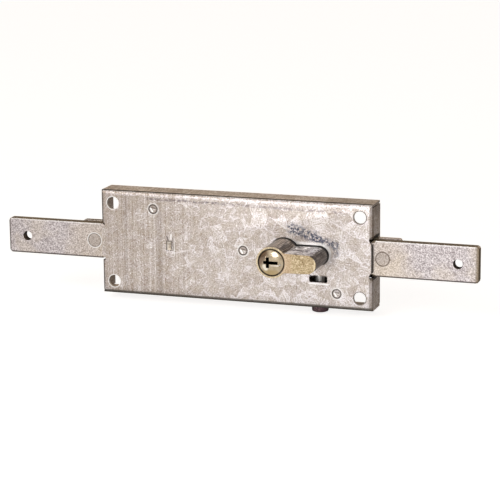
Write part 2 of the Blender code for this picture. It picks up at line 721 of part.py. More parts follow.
def make_cylinder_body():
    """One bar of profile section, cut out for the cam, bored for the plug and chambered for the pins."""
    bm = prism(profile_outline(0.0), -CYLINDER_FRONT, CYLINDER_BACK)
    rim = [e for e in bm.edges if all(abs(v.co.y + CYLINDER_FRONT) < 1e-7 for v in e.verts)]
    soften(bm, rim, FACE_CHAMFER, 1)
    body = object_of("cylinder_body", bm, BODY_METAL)
    cam_end = CYLINDER_X + CAM_REACH + CAM_GAP
    side = PROFILE_RADIUS + CAM_GAP
    space = rectangle(CYLINDER_X - side, cam_end, -side, side)
    boolean(body, "cylinder_cam_space", prism(space, CAM_LOW, CAM_HIGH))
    bore = [
        (PLUG_FACE_RADIUS + SEAT_GAP, -CYLINDER_FRONT - PLUG_FACE_DEPTH),
        (PLUG_FACE_RADIUS + SEAT_GAP, -CYLINDER_FRONT + PLUG_FACE_DEPTH + RUNNING_GAP),
        (PLUG_BORE, -CYLINDER_FRONT + PLUG_FACE_DEPTH + RUNNING_GAP),
        (PLUG_BORE, CAM_Y),
        (TAIL_RADIUS + RUNNING_GAP, CAM_Y),
        (TAIL_RADIUS + RUNNING_GAP, CAM_HIGH + TAIL_SEAT + RUNNING_GAP),
    ]
    boolean(body, "cylinder_bore", turned(bore, (CYLINDER_X, 0), facets=FINE))
    chambers = bmesh.new()
    for y in pin_rows():
        end = CYLINDER_X + LOBE_REACH - CHAMBER_WALL
        add_prism(chambers, circle((y, 0), CHAMBER_RADIUS, COARSE), CYLINDER_X + PLUG_RADIUS / 2, end, "X")
    boolean(body, "cylinder_chambers", chambers)
    screw_hole = circle((SCREW_X, CAM_Y), SCREW_RADIUS + SEAT_GAP)
    boolean(body, "cylinder_screw_hole", prism(screw_hole, -PROFILE_RADIUS, PROFILE_RADIUS, "Z"))


def keyway_cutters():
    """A flat blade slot crossed by a shorter upright one."""
    end = CAM_LOW - KEYWAY_END_WALL
    start = -CYLINDER_FRONT - 2 * PLUG_DOME
    centre = CYLINDER_X + KEYWAY_SHIFT
    cross = CYLINDER_X + KEYWAY_CROSS_SHIFT
    half, thin = KEYWAY_BLADE / 2, KEYWAY_BLADE_THICKNESS / 2
    tall, wide = KEYWAY_CROSS / 2, KEYWAY_CROSS_THICKNESS / 2
    outline = [
        (centre - half, -thin),
        (cross - wide, -thin),
        (cross - wide, -tall),
        (cross + wide, -tall),
        (cross + wide, -thin),
        (centre + half, -thin),
        (centre + half, thin),
        (cross + wide, thin),
        (cross + wide, tall),
        (cross - wide, tall),
        (cross - wide, thin),
        (centre - half, thin),
    ]
    return prism(outline, start, end)


def make_plug(carrier):
    """Domed face, barrel with the keyway and pin holes, and a flatted tail that drives the cam."""
    face = -CYLINDER_FRONT
    dome_radius = (PLUG_FACE_RADIUS**2 + PLUG_DOME**2) / (2 * PLUG_DOME)
    dome = []
    for k in range(1, PLUG_DOME_STEPS + 1):
        radius = PLUG_FACE_RADIUS * k / PLUG_DOME_STEPS
        rise = math.sqrt(dome_radius**2 - radius**2) - (dome_radius - PLUG_DOME)
        dome.append((radius, face - rise))
    barrel_end = CAM_LOW - RUNNING_GAP
    groove = CAM_HIGH - CLIP_THICKNESS - 2 * SEAT_GAP
    profile = dome + [
        (PLUG_FACE_RADIUS, face + PLUG_FACE_DEPTH),
        (PLUG_RADIUS, face + PLUG_FACE_DEPTH),
        (PLUG_RADIUS, barrel_end),
        (TAIL_RADIUS, barrel_end),
        (TAIL_RADIUS, groove - SEAT_GAP),
        (TAIL_RADIUS - CLIP_GROOVE_DEPTH, groove - SEAT_GAP),
        (TAIL_RADIUS - CLIP_GROOVE_DEPTH, CAM_HIGH),
        (TAIL_RADIUS, CAM_HIGH),
        (TAIL_RADIUS, CAM_HIGH + TAIL_SEAT),
    ]
    plug = object_of("cylinder_plug", turned(profile, (CYLINDER_X, 0), facets=FINE), PLUG_METAL, carrier)
    boolean(plug, "plug_keyway", keyway_cutters())
    holes = bmesh.new()
    tip = CYLINDER_X + KEYWAY_SHIFT + KEYWAY_BLADE / 2 - SEAT_GAP
    for y in pin_rows():
        add_prism(holes, circle((y, 0), CHAMBER_RADIUS, COARSE), tip, CYLINDER_X + PROFILE_RADIUS, "X")
    boolean(plug, "plug_pin_holes", holes)
    flats = bmesh.new()
    for level in (-1, 1):
        z_low, z_high = sorted((level * TAIL_FLAT, level * 2 * TAIL_RADIUS))
        outline = rectangle(CYLINDER_X - 2 * TAIL_RADIUS, CYLINDER_X + 2 * TAIL_RADIUS, z_low, z_high)
        add_prism(flats, outline, barrel_end, CASE_DEPTH)
    boolean(plug, "plug_flats", flats)


def make_cam(carrier):
    """A hub on the plug's tail with one round-nosed finger, pointing up and to the right at rest."""
    facing = math.degrees(math.asin(CAM_TIP_RADIUS / CAM_HUB_RADIUS))
    hub = arc((0, 0), CAM_HUB_RADIUS, facing, 360 - facing, FINE)
    tip = arc((CAM_CENTRE_REACH, 0), CAM_TIP_RADIUS, -90, 90, MEDIUM)
    turn = Matrix.Rotation(CAM_TURN / 2, 2)
    outline = [tuple(turn @ Vector(p) + Vector((CYLINDER_X, 0))) for p in hub + tip]
    back = CAM_HIGH - CLIP_THICKNESS - 3 * SEAT_GAP
    cam = object_of("cylinder_cam", prism(outline, CAM_LOW + RUNNING_GAP, back), CAM_METAL, carrier)
    bore = flatted(TAIL_RADIUS + SEAT_GAP, TAIL_FLAT + SEAT_GAP)
    boolean(cam, "cam_bore", prism(bore, CAM_LOW - SHEET, CAM_HIGH + SHEET))


def make_clip(carrier):
    """An open spring clip in the tail's groove, which keeps the cam on."""
    inner = TAIL_RADIUS - CLIP_GROOVE_DEPTH + SEAT_GAP
    half_open = CLIP_OPENING_DEGREES / 2
    outer_arc = arc((CYLINDER_X, 0), CLIP_RADIUS, half_open - 90, 270 - half_open, MEDIUM)
    lip = half_open + CLIP_LIP_DEGREES
    inner_arc = arc((CYLINDER_X, 0), inner, 270 - lip, lip - 90, MEDIUM)
    low = CAM_HIGH - CLIP_THICKNESS - SEAT_GAP
    object_of("cam_clip", prism(outer_arc + inner_arc, low, low + CLIP_THICKNESS), SPRING_METAL, carrier)


def make_pins(carrier):
    """Key pins in the plug, and drivers and springs in the body, meeting at the plug's surface."""
    tip = CYLINDER_X + KEYWAY_SHIFT + KEYWAY_BLADE / 2
    key_end = CYLINDER_X + PLUG_RADIUS - SEAT_GAP
    driver = CYLINDER_X + PLUG_BORE + SEAT_GAP
    chamber_end = CYLINDER_X + LOBE_REACH - CHAMBER_WALL - SEAT_GAP
    for k, y in enumerate(pin_rows(), start=1):
        key_pin = [(PIN_RADIUS / 2, tip), (PIN_RADIUS, tip + PIN_RADIUS / 2), (PIN_RADIUS, key_end)]
        object_of(f"key_pin_{k}", turned(key_pin, (y, 0), "X", COARSE), PIN_METAL, carrier)
        driver_pin = [(PIN_RADIUS, driver), (PIN_RADIUS, driver + DRIVER_LENGTH)]
        object_of(f"driver_pin_{k}", turned(driver_pin, (y, 0), "X", COARSE), PIN_METAL)
        object_of(f"pin_spring_{k}", coil(y, driver + DRIVER_LENGTH + SEAT_GAP, chamber_end), SPRING_METAL)


def coil(y, start, end):
    """Round wire wound on a helix along +X, swept ring by ring."""
    count = SPRING_TURNS * SPRING_STEPS
    length = end - start - 2 * SPRING_WIRE
    bm = bmesh.new()
    rings = []
    for k in range(count + 1):
        turn = 2 * math.pi * k / SPRING_STEPS
        outward = Vector((0, math.cos(turn), math.sin(turn)))
        centre = Vector((start + SPRING_WIRE + length * k / count, y, 0)) + outward * SPRING_RADIUS
        ring = []
        for s in range(SPRING_SIDES):
            lean = 2 * math.pi * s / SPRING_SIDES
            offset = outward * math.cos(lean) + Vector((1, 0, 0)) * math.sin(lean)
            ring.append(bm.verts.new(centre + offset * SPRING_WIRE))
        rings.append(ring)
    for first, second in zip(rings, rings[1:]):
        for s in range(SPRING_SIDES):
            n = (s + 1) % SPRING_SIDES
            bm.faces.new((first[s], second[s], second[n], first[n]))
    bm.faces.new(rings[0][::-1])
    bm.faces.new(rings[-1])
    return bm


def make_cylinder():
    make_cylinder_body()
    carrier = empty_at("plug_axis", (CYLINDER_X, -CYLINDER_FRONT, 0.0))
    make_plug(carrier)
    make_cam(carrier)
    make_clip(carrier)
    make_pins(carrier)


def make_screw():
    """Pan-headed screw from below the case into the lobe."""
    head_top = -OUTER_Z - SEAT_GAP
    head_low = head_top - SCREW_HEAD_HEIGHT
    round_off = SCREW_HEAD_HEIGHT / 4
    profile = [
        (SCREW_HEAD_RADIUS - 2 * round_off, head_low),
        (SCREW_HEAD_RADIUS - round_off / 2, head_low + round_off / 2),
        (SCREW_HEAD_RADIUS, head_low + 2 * round_off),
        (SCREW_HEAD_RADIUS, head_top),
        (SCREW_RADIUS, head_top),
        (SCREW_RADIUS, SCREW_REACH - SCREW_POINT),
        (SCREW_RADIUS - SCREW_POINT, SCREW_REACH),
    ]
    screw = object_of("fixing_screw", turned(profile, (SCREW_X, CAM_Y), "Z"), SCREW_METAL)
    half, across = SCREW_SLOT_WIDTH / 2, 2 * SCREW_HEAD_RADIUS
    slot = [(SCREW_X - across, CAM_Y - half), (SCREW_X + across, CAM_Y - half)]
    slot += [(x, 2 * CAM_Y - y) for x, y in slot[::-1]]
    boolean(screw, "screw_slot", prism(slot, head_low - SCREW_SLOT_DEPTH, head_low + SCREW_SLOT_DEPTH, "Z"))


def main():
    clear_scene()
    make_case()
    make_cover()
    make_pillars()
    make_pivot_rings()
    make_lug()
    make_bolts()
    make_rocker()
    make_cylinder()
    make_screw()


main()
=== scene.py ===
# %% [markdown]
# # A roller-shutter lock in galvanised steel, zinc and brass
# The real lock is a low folded-steel box with a flat bolt leaving each end and half a profile cylinder through its
# front. The CAD model already holds every solid in its right place, so this lesson only dresses it: it gives the
# sheet its zinc flakes, the bars their sandy skin, the brass its turning marks, and it rebuilds the few pieces whose
# edges, threads and domes are finer than a collision model needs.

import math

import bmesh
import bpy
from mathutils import Matrix, Vector


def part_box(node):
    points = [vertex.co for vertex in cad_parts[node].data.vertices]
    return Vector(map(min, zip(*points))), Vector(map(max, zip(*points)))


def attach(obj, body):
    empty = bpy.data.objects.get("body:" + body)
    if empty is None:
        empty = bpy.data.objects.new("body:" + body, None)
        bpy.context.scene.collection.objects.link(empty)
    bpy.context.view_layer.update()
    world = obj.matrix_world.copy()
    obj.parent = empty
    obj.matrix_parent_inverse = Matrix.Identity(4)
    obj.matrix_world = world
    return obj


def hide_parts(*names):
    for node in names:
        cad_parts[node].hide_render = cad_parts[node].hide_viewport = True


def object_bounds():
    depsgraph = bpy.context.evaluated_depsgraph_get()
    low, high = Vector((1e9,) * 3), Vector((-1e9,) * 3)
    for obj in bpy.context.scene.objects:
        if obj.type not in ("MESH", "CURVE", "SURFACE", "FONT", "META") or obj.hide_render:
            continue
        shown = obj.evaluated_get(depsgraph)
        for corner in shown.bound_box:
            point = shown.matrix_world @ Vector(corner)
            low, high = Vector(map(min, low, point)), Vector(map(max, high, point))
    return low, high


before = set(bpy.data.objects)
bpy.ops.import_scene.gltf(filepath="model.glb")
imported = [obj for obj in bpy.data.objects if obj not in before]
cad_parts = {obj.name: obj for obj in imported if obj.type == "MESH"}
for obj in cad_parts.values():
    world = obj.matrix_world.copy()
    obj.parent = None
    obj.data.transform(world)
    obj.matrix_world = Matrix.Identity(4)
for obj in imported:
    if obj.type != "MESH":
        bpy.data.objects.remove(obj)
cad_low, cad_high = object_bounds()
print("CAD box in mm:", [round(1000 * side, 1) for side in cad_high - cad_low])

# %% [markdown]
# ## The camera
# The photographer stood to the right of the lock and a little above it, with a long lens. The direction, distance and
# lens here were solved from the box's corners, its four fixing holes and the two bars, so the picture lines up with
# the photograph. A camera looks along its own -Z axis, so its three axes are worked out first and become the
# columns of its matrix.

# %% Camera
AZIMUTH = math.radians(19.004)
ELEVATION = math.radians(12.973)
ROLL = math.radians(-0.621)
DISTANCE = 1.0835
LENS_MM = 144.31
SENSOR_MM = 36
LOOK_RIGHT, LOOK_UP = 0.00855, -0.00008
CLIP_START = 0.05

flat = math.cos(ELEVATION)
towards_camera = Vector((math.sin(AZIMUTH) * flat, -math.cos(AZIMUTH) * flat, math.sin(ELEVATION)))
level = Vector((math.cos(AZIMUTH), math.sin(AZIMUTH), 0))
upward = towards_camera.cross(level)
place = towards_camera * DISTANCE + level * LOOK_RIGHT + upward * LOOK_UP
sideways = math.cos(ROLL) * level + math.sin(ROLL) * upward
above = math.cos(ROLL) * upward - math.sin(ROLL) * level

camera = bpy.data.objects.new("camera", bpy.data.cameras.new("camera"))
camera.data.sensor_width = SENSOR_MM
camera.data.lens = LENS_MM
camera.data.clip_start = CLIP_START
camera.matrix_world = Matrix.Translation(place) @ Matrix((sideways, above, towards_camera)).transposed().to_4x4()
bpy.context.scene.collection.objects.link(camera)
bpy.context.scene.camera = camera
bpy.context.scene.view_settings.view_transform = "Standard"
print("camera", DISTANCE, "m away, lens", LENS_MM, "mm")

# %% [markdown]
# ## Colours and nodes
# Colours are written as sRGB hex, the way a paint program shows them. Blender's sockets want linear values, so one
# function does the conversion for all of them. One more function adds a node with its settings and links, which
# keeps each recipe below readable as a list of steps. The settings that come up most have names, and a third
# function turns the size of a grain in millimetres into a texture's scale.

# %% Helpers for every material
SMOOTH = {"interpolation_type": "SMOOTHSTEP"}
TIMES = {"operation": "MULTIPLY"}
TIMES_ADD = {"operation": "MULTIPLY_ADD"}
MINUS = {"operation": "SUBTRACT"}
LARGER = {"operation": "MAXIMUM"}
APART = {"operation": "DISTANCE"}
COLOURS = {"data_type": "RGBA"}


def linear(code):
    """An sRGB hex colour as the linear RGBA that sockets take."""
    made = []
    for start in (0, 2, 4):
        value = int(code[start : start + 2], 16) / 255
        made.append(value / 12.92 if value <= 0.04045 else ((value + 0.055) / 1.055) ** 2.4)
    return (*made, 1.0)


def add(tree, kind, settings=None, inputs=None):
    """A node of this kind, its settings made, and each input given a value or joined to a socket."""
    made = tree.nodes.new(kind)
    for name, value in (settings or {}).items():
        setattr(made, name, value)
    for name, value in (inputs or {}).items():
        if isinstance(value, bpy.types.NodeSocket):
            tree.links.new(value, made.inputs[name])
        else:
            made.inputs[name].default_value = value
    return made


def per_mm(size):
    """The texture scale that makes one grain, cell or wave this many millimetres across."""
    return 1000 / size


print("a 1 mm grain is a texture scale of", per_mm(1))

# %% [markdown]
# ## Floor
# A cut-out product picture has a white ground and no horizon. The floor is a real diffuse surface, so it still takes
# the lock's shadow, and a little emission that lifts it to white is seen by camera rays and by the rays that metal
# mirrors. For those the glow is a pool in front of the lock, as a lamp over the near half of a table gives: it is
# what makes the front plate bright and leaves the box's right wall dim.

# %% Floor
FLOOR_SIZE, FLOOR_GAP = 12, 0.0002
PAPER, PAPER_ROUGHNESS = "DCDAD8", 0.9
CAMERA_LIFT, MIRROR_LIFT = 0.8, 0.66
POOL_CENTRE = (0.04, -0.2, 0.0)
POOL_INNER, POOL_OUTER = 0.14, 0.46
POOL_BACK, POOL_FRONT = 0.01, -0.03
POOL_EDGE_SHARE = 0.12
floor_level = cad_low.z - FLOOR_GAP

bm = bmesh.new()
bmesh.ops.create_grid(bm, x_segments=1, y_segments=1, size=FLOOR_SIZE / 2)
bmesh.ops.translate(bm, verts=bm.verts, vec=(0, 0, floor_level))
floor_mesh = bpy.data.meshes.new("floor")
bm.to_mesh(floor_mesh)
bm.free()
floor = bpy.data.objects.new("floor", floor_mesh)
bpy.context.scene.collection.objects.link(floor)

paper = bpy.data.materials.new("matt_paper_sweep")
paper.use_nodes = True
tree = paper.node_tree
shader = tree.nodes["Principled BSDF"]
shader.inputs["Base Color"].default_value = linear(PAPER)
shader.inputs["Roughness"].default_value = PAPER_ROUGHNESS
rays = add(tree, "ShaderNodeLightPath")
mirrored = add(tree, "ShaderNodeMath", LARGER, {
    0: rays.outputs["Is Glossy Ray"], 1: rays.outputs["Is Transmission Ray"],
})
spot = add(tree, "ShaderNodeTexCoord").outputs["Object"]
reach = add(tree, "ShaderNodeVectorMath", APART, {0: spot, 1: POOL_CENTRE})
pool = add(tree, "ShaderNodeMapRange", SMOOTH, {
    "Value": reach.outputs["Value"], "From Min": POOL_INNER, "From Max": POOL_OUTER, "To Min": 1.0,
    "To Max": POOL_EDGE_SHARE,
})
split = add(tree, "ShaderNodeSeparateXYZ", None, {0: spot})
ahead = add(tree, "ShaderNodeMapRange", SMOOTH, {
    "Value": split.outputs["Y"], "From Min": POOL_BACK, "From Max": POOL_FRONT, "To Min": POOL_EDGE_SHARE,
    "To Max": 1.0,
})
pool = add(tree, "ShaderNodeMath", TIMES, {0: pool.outputs[0], 1: ahead.outputs[0]})
in_mirror = add(tree, "ShaderNodeMath", TIMES, {0: mirrored.outputs[0], 1: pool.outputs[0]})
in_mirror = add(tree, "ShaderNodeMath", TIMES, {0: in_mirror.outputs[0], 1: MIRROR_LIFT})
glow = add(tree, "ShaderNodeMath", TIMES_ADD, {
    0: rays.outputs["Is Camera Ray"], 1: CAMERA_LIFT, 2: in_mirror.outputs[0],
})
lift = add(tree, "ShaderNodeEmission", None, {"Color": (1, 1, 1, 1), "Strength": glow.outputs[0]})
both = add(tree, "ShaderNodeAddShader", None, {0: shader.outputs[0], 1: lift.outputs[0]})
tree.links.new(both.outputs[0], tree.nodes["Material Output"].inputs["Surface"])
floor_mesh.materials.append(paper)
print("floor at", round(1000 * floor_level, 1), "mm")

# %% [markdown]
# ## Room
# Metal shows its surroundings more than its own colour. The room has one glowing panel straight ahead of the lock and
# one overhead, and is dim and warm elsewhere, so the bends and the end walls turn dark as they turn away.
# Camera rays see plain white.

# %% Room
ROOM_DIM, ROOM_BRIGHT = "CCBBA6", "FFFDFB"
OTHER_RAYS = 0.3
PANELS = (
    # direction, and the cosines where its glow starts and is full
    ((-0.12, -0.98, 0.10), 0.88, 0.985),
    ((-0.15, -0.15, 0.98), 0.70, 0.95),
)

room = bpy.data.worlds.new("studio_room")
bpy.context.scene.world = room
room.use_nodes = True
tree = room.node_tree
tree.nodes.clear()
rays = add(tree, "ShaderNodeLightPath")
direction = add(tree, "ShaderNodeTexCoord").outputs["Generated"]
lit = 0.0
for facing, faint, full in PANELS:
    turn = add(tree, "ShaderNodeVectorMath", {"operation": "DOT_PRODUCT"}, {
        0: direction, 1: Vector(facing).normalized(),
    })
    panel = add(tree, "ShaderNodeMapRange", SMOOTH, {
        "Value": turn.outputs["Value"], "From Min": faint, "From Max": full,
    })
    lit = add(tree, "ShaderNodeMath", LARGER, {0: panel.outputs[0], 1: lit}).outputs[0]
walls = add(tree, "ShaderNodeMix", COLOURS, {"Factor": lit, "A": linear(ROOM_DIM), "B": linear(ROOM_BRIGHT)})
seen = add(tree, "ShaderNodeMix", COLOURS, {
    "Factor": rays.outputs["Is Camera Ray"], "A": walls.outputs["Result"], "B": (1, 1, 1, 1),
})
shown = add(tree, "ShaderNodeMath", LARGER, {0: rays.outputs["Is Camera Ray"], 1: rays.outputs["Is Glossy Ray"]})
shown = add(tree, "ShaderNodeMath", LARGER, {0: shown.outputs[0], 1: rays.outputs["Is Transmission Ray"]})
strength = add(tree, "ShaderNodeMapRange", None, {"Value": shown.outputs[0], "To Min": OTHER_RAYS, "To Max": 1.0})
sky = add(tree, "ShaderNodeBackground", None, {"Color": seen.outputs["Result"], "Strength": strength.outputs[0]})
add(tree, "ShaderNodeOutputWorld", None, {"Surface": sky.outputs[0]})
print(len(PANELS), "glowing panels in the room")

# %% [markdown]
# ## Lamps
# The key lamp is a softbox at the front left, high up. A smaller one straight in front gives the polished plug its
# highlight, and a weak fill keeps the right side open. All three are discs that face the lock.

# %% Lamps
LAMPS = {
    # name: place, size in metres, watts, colour
    "key_softbox": ((-0.55, -0.95, 0.75), 0.7, 3.4, "FFFCF8"),
    "front_softbox": ((-0.17, -1.3, 0.13), 0.24, 2.1, "FFFEFD"),
    "right_fill": ((0.85, -0.8, 0.35), 0.6, 1.8, "F2F4FF"),
}
for name, (spot, size, watts, colour) in LAMPS.items():
    lamp = bpy.data.lights.new(name, "AREA")
    lamp.shape = "DISK"
    lamp.size = size
    lamp.energy = watts
    lamp.color = linear(colour)[:3]
    holder = bpy.data.objects.new(name, lamp)
    holder.location = spot
    holder.rotation_euler = (-Vector(spot)).to_track_quat("-Z", "Y").to_euler()
    bpy.context.scene.collection.objects.link(holder)
print(len(LAMPS), "lamps")

# %% [markdown]
# ## Marks, rings and sums of patterns
# Every finish starts the same way: a Principled shader, and the object coordinates, which here are metres from the
# centre of the front plate because every piece sits at the origin. A mark is soft paint round a line: full on it,
# fading to none at the outer edge. A line of no length gives a round spot. Marks draw scratches and stains where the
# real sheet has them, and also painted shade, painted highlights and painted reflections, and rings draw painted
# shade and highlights round the edges of holes and rivets. A last helper adds noises into one tone.

# %% Shared steps of the materials
SPECKLE_MM = 1.8
SPECKLE_LOW, SPECKLE_HIGH = 0.42, 0.56


def start_material(name):
    """A new material, its node tree and its Principled shader."""
    made = bpy.data.materials.new(name)
    made.use_nodes = True
    return made, made.node_tree, made.node_tree.nodes["Principled BSDF"]


def near_line(tree, place, start, end, inner, outer):
    """1 within inner mm of the line from start to end in mm, fading to 0 at outer mm."""
    a = Vector(start) / 1000
    run = (Vector(end) - Vector(start)) / 1000
    offset = add(tree, "ShaderNodeVectorMath", MINUS, {0: place, 1: a}).outputs[0]
    if run.length > 0:
        share = add(tree, "ShaderNodeVectorMath", {"operation": "DOT_PRODUCT"}, {
            0: offset, 1: run / run.length_squared,
        })
        held = add(tree, "ShaderNodeClamp", None, {"Value": share.outputs["Value"]})
        foot = add(tree, "ShaderNodeVectorMath", {"operation": "SCALE"}, {0: run, "Scale": held.outputs[0]})
        offset = add(tree, "ShaderNodeVectorMath", MINUS, {0: offset, 1: foot.outputs[0]}).outputs[0]
    gap = add(tree, "ShaderNodeVectorMath", {"operation": "LENGTH"}, {0: offset})
    faded = add(tree, "ShaderNodeMapRange", SMOOTH, {
        "Value": gap.outputs["Value"], "From Min": inner / 1000, "From Max": outer / 1000, "To Min": 1.0,
        "To Max": 0.0,
    })
    return faded.outputs[0]


def layered(tree, colour, layers):
    """A colour under thin layers, each a factor and a tint."""
    for factor, tint in layers:
        colour = add(tree, "ShaderNodeMix", COLOURS, {
            "Factor": factor, "A": colour, "B": linear(tint),
        }).outputs["Result"]
    return colour


def marked(tree, at, colour, marks):
    """Marks painted over a colour. Each is start, end, inner and outer reach in mm, share and tint, and True if a
    noise breaks it up."""
    speckle = add(tree, "ShaderNodeTexNoise", None, {
        "Vector": at, "Scale": per_mm(SPECKLE_MM), "Detail": 4.0, "Roughness": 0.7,
    })
    broken = add(tree, "ShaderNodeMapRange", SMOOTH, {
        "Value": speckle.outputs["Fac"], "From Min": SPECKLE_LOW, "From Max": SPECKLE_HIGH,
    })
    layers = []
    for start, end, inner, outer, share, tint, *broken_up in marks:
        reach = near_line(tree, at, start, end, inner, outer)
        factor = add(tree, "ShaderNodeMath", TIMES, {0: reach, 1: share}).outputs[0]
        if broken_up:
            factor = add(tree, "ShaderNodeMath", TIMES, {0: factor, 1: broken.outputs[0]}).outputs[0]
        layers.append((factor, tint))
    return layered(tree, colour, layers)


def ringed(tree, at, colour, rings):
    """Rings painted over a colour. Each is centre, radius and half width in mm, share and tint."""
    layers = []
    for centre, radius, half, share, tint in rings:
        place = Vector(centre) / 1000
        reach = add(tree, "ShaderNodeVectorMath", APART, {0: at, 1: place})
        off = add(tree, "ShaderNodeMath", MINUS, {0: reach.outputs["Value"], 1: radius / 1000})
        gap = add(tree, "ShaderNodeMath", {"operation": "ABSOLUTE"}, {0: off.outputs[0]})
        factor = add(tree, "ShaderNodeMapRange", SMOOTH, {
            "Value": gap.outputs[0], "From Min": half / 2000, "From Max": half / 1000, "To Min": share,
            "To Max": 0.0,
        })
        layers.append((factor.outputs[0], tint))
    return layered(tree, colour, layers)


def weighted(tree, start, parts):
    """A running sum of patterns, each less its middle value and times its weight."""
    total = start
    for pattern, middle, weight in parts:
        about = add(tree, "ShaderNodeMath", MINUS, {0: pattern, 1: middle})
        total = add(tree, "ShaderNodeMath", TIMES_ADD, {0: about.outputs[0], 1: weight, 2: total}).outputs[0]
    return total


# %% [markdown]
# ## Hot-dip galvanised sheet
# Zinc freezes on steel in flat crystals, here about half a centimetre across, each catching the light its own way,
# with fine fern-like lines inside. A Voronoi pattern gives the crystals, and a stretched noise turned by each
# crystal's own random angle gives the lines. Over them lie a bright mottle finer than a millimetre, and a faint pink
# or straw tint. The rolls leave upright streaks at the left of this sheet. Towards the right the tone is painted
# lighter and more crystals shine, a painted light gradient for the brighter light there.

# %% Galvanised sheet
# the patterns' sizes
FLAKE_MM, RIM_MM = 6.0, 0.32
FLAKE_EDGE_MM, FLAKE_EDGE_SHIFT = 1.6, 0.0004
FERN_ACROSS_MM, FERN_ALONG_MM = 0.75, 4.0
STREAK_ACROSS_MM, STREAK_ALONG_MM = 1.3, 90.0
MOTTLE_MM, SPECK_MM, PATCH_MM, CLOUD_MM = 0.7, 1.1, 5.0, 38.0
# their tones and shares
ZINC_DARK, ZINC_MIDDLE, ZINC_LIGHT = "958679", "C6BEBA", "F8F5F8"
ZINC_TONE, ZINC_METALLIC, ROUGH_DARK, ROUGH_LIGHT = 0.51, 0.88, 0.5, 0.34
SHINING_FROM, SHINING_TO, LIGHTER_RIGHT_PER_METRE = 0.72, 0.86, 2.0
STREAK_DEPTH, STREAK_LIFT = -1.35, 0.61
RIM_SHARE, SPECK_SHARE, PINK_SHARE, STRAW_SHARE = 0.75, 0.8, 0.2, 0.16
MOTTLE_RELIEF, MOTTLE_DEPTH = 0.15, 0.0002
# where the roll streaks fade in and the crystals' rims fade out, going left, in metres from the middle
STREAKS_FADE_FROM, STREAKS_FADE_TO = -0.012, -0.036
RIMS_FADE_FROM, RIMS_FADE_TO = -0.045, -0.015


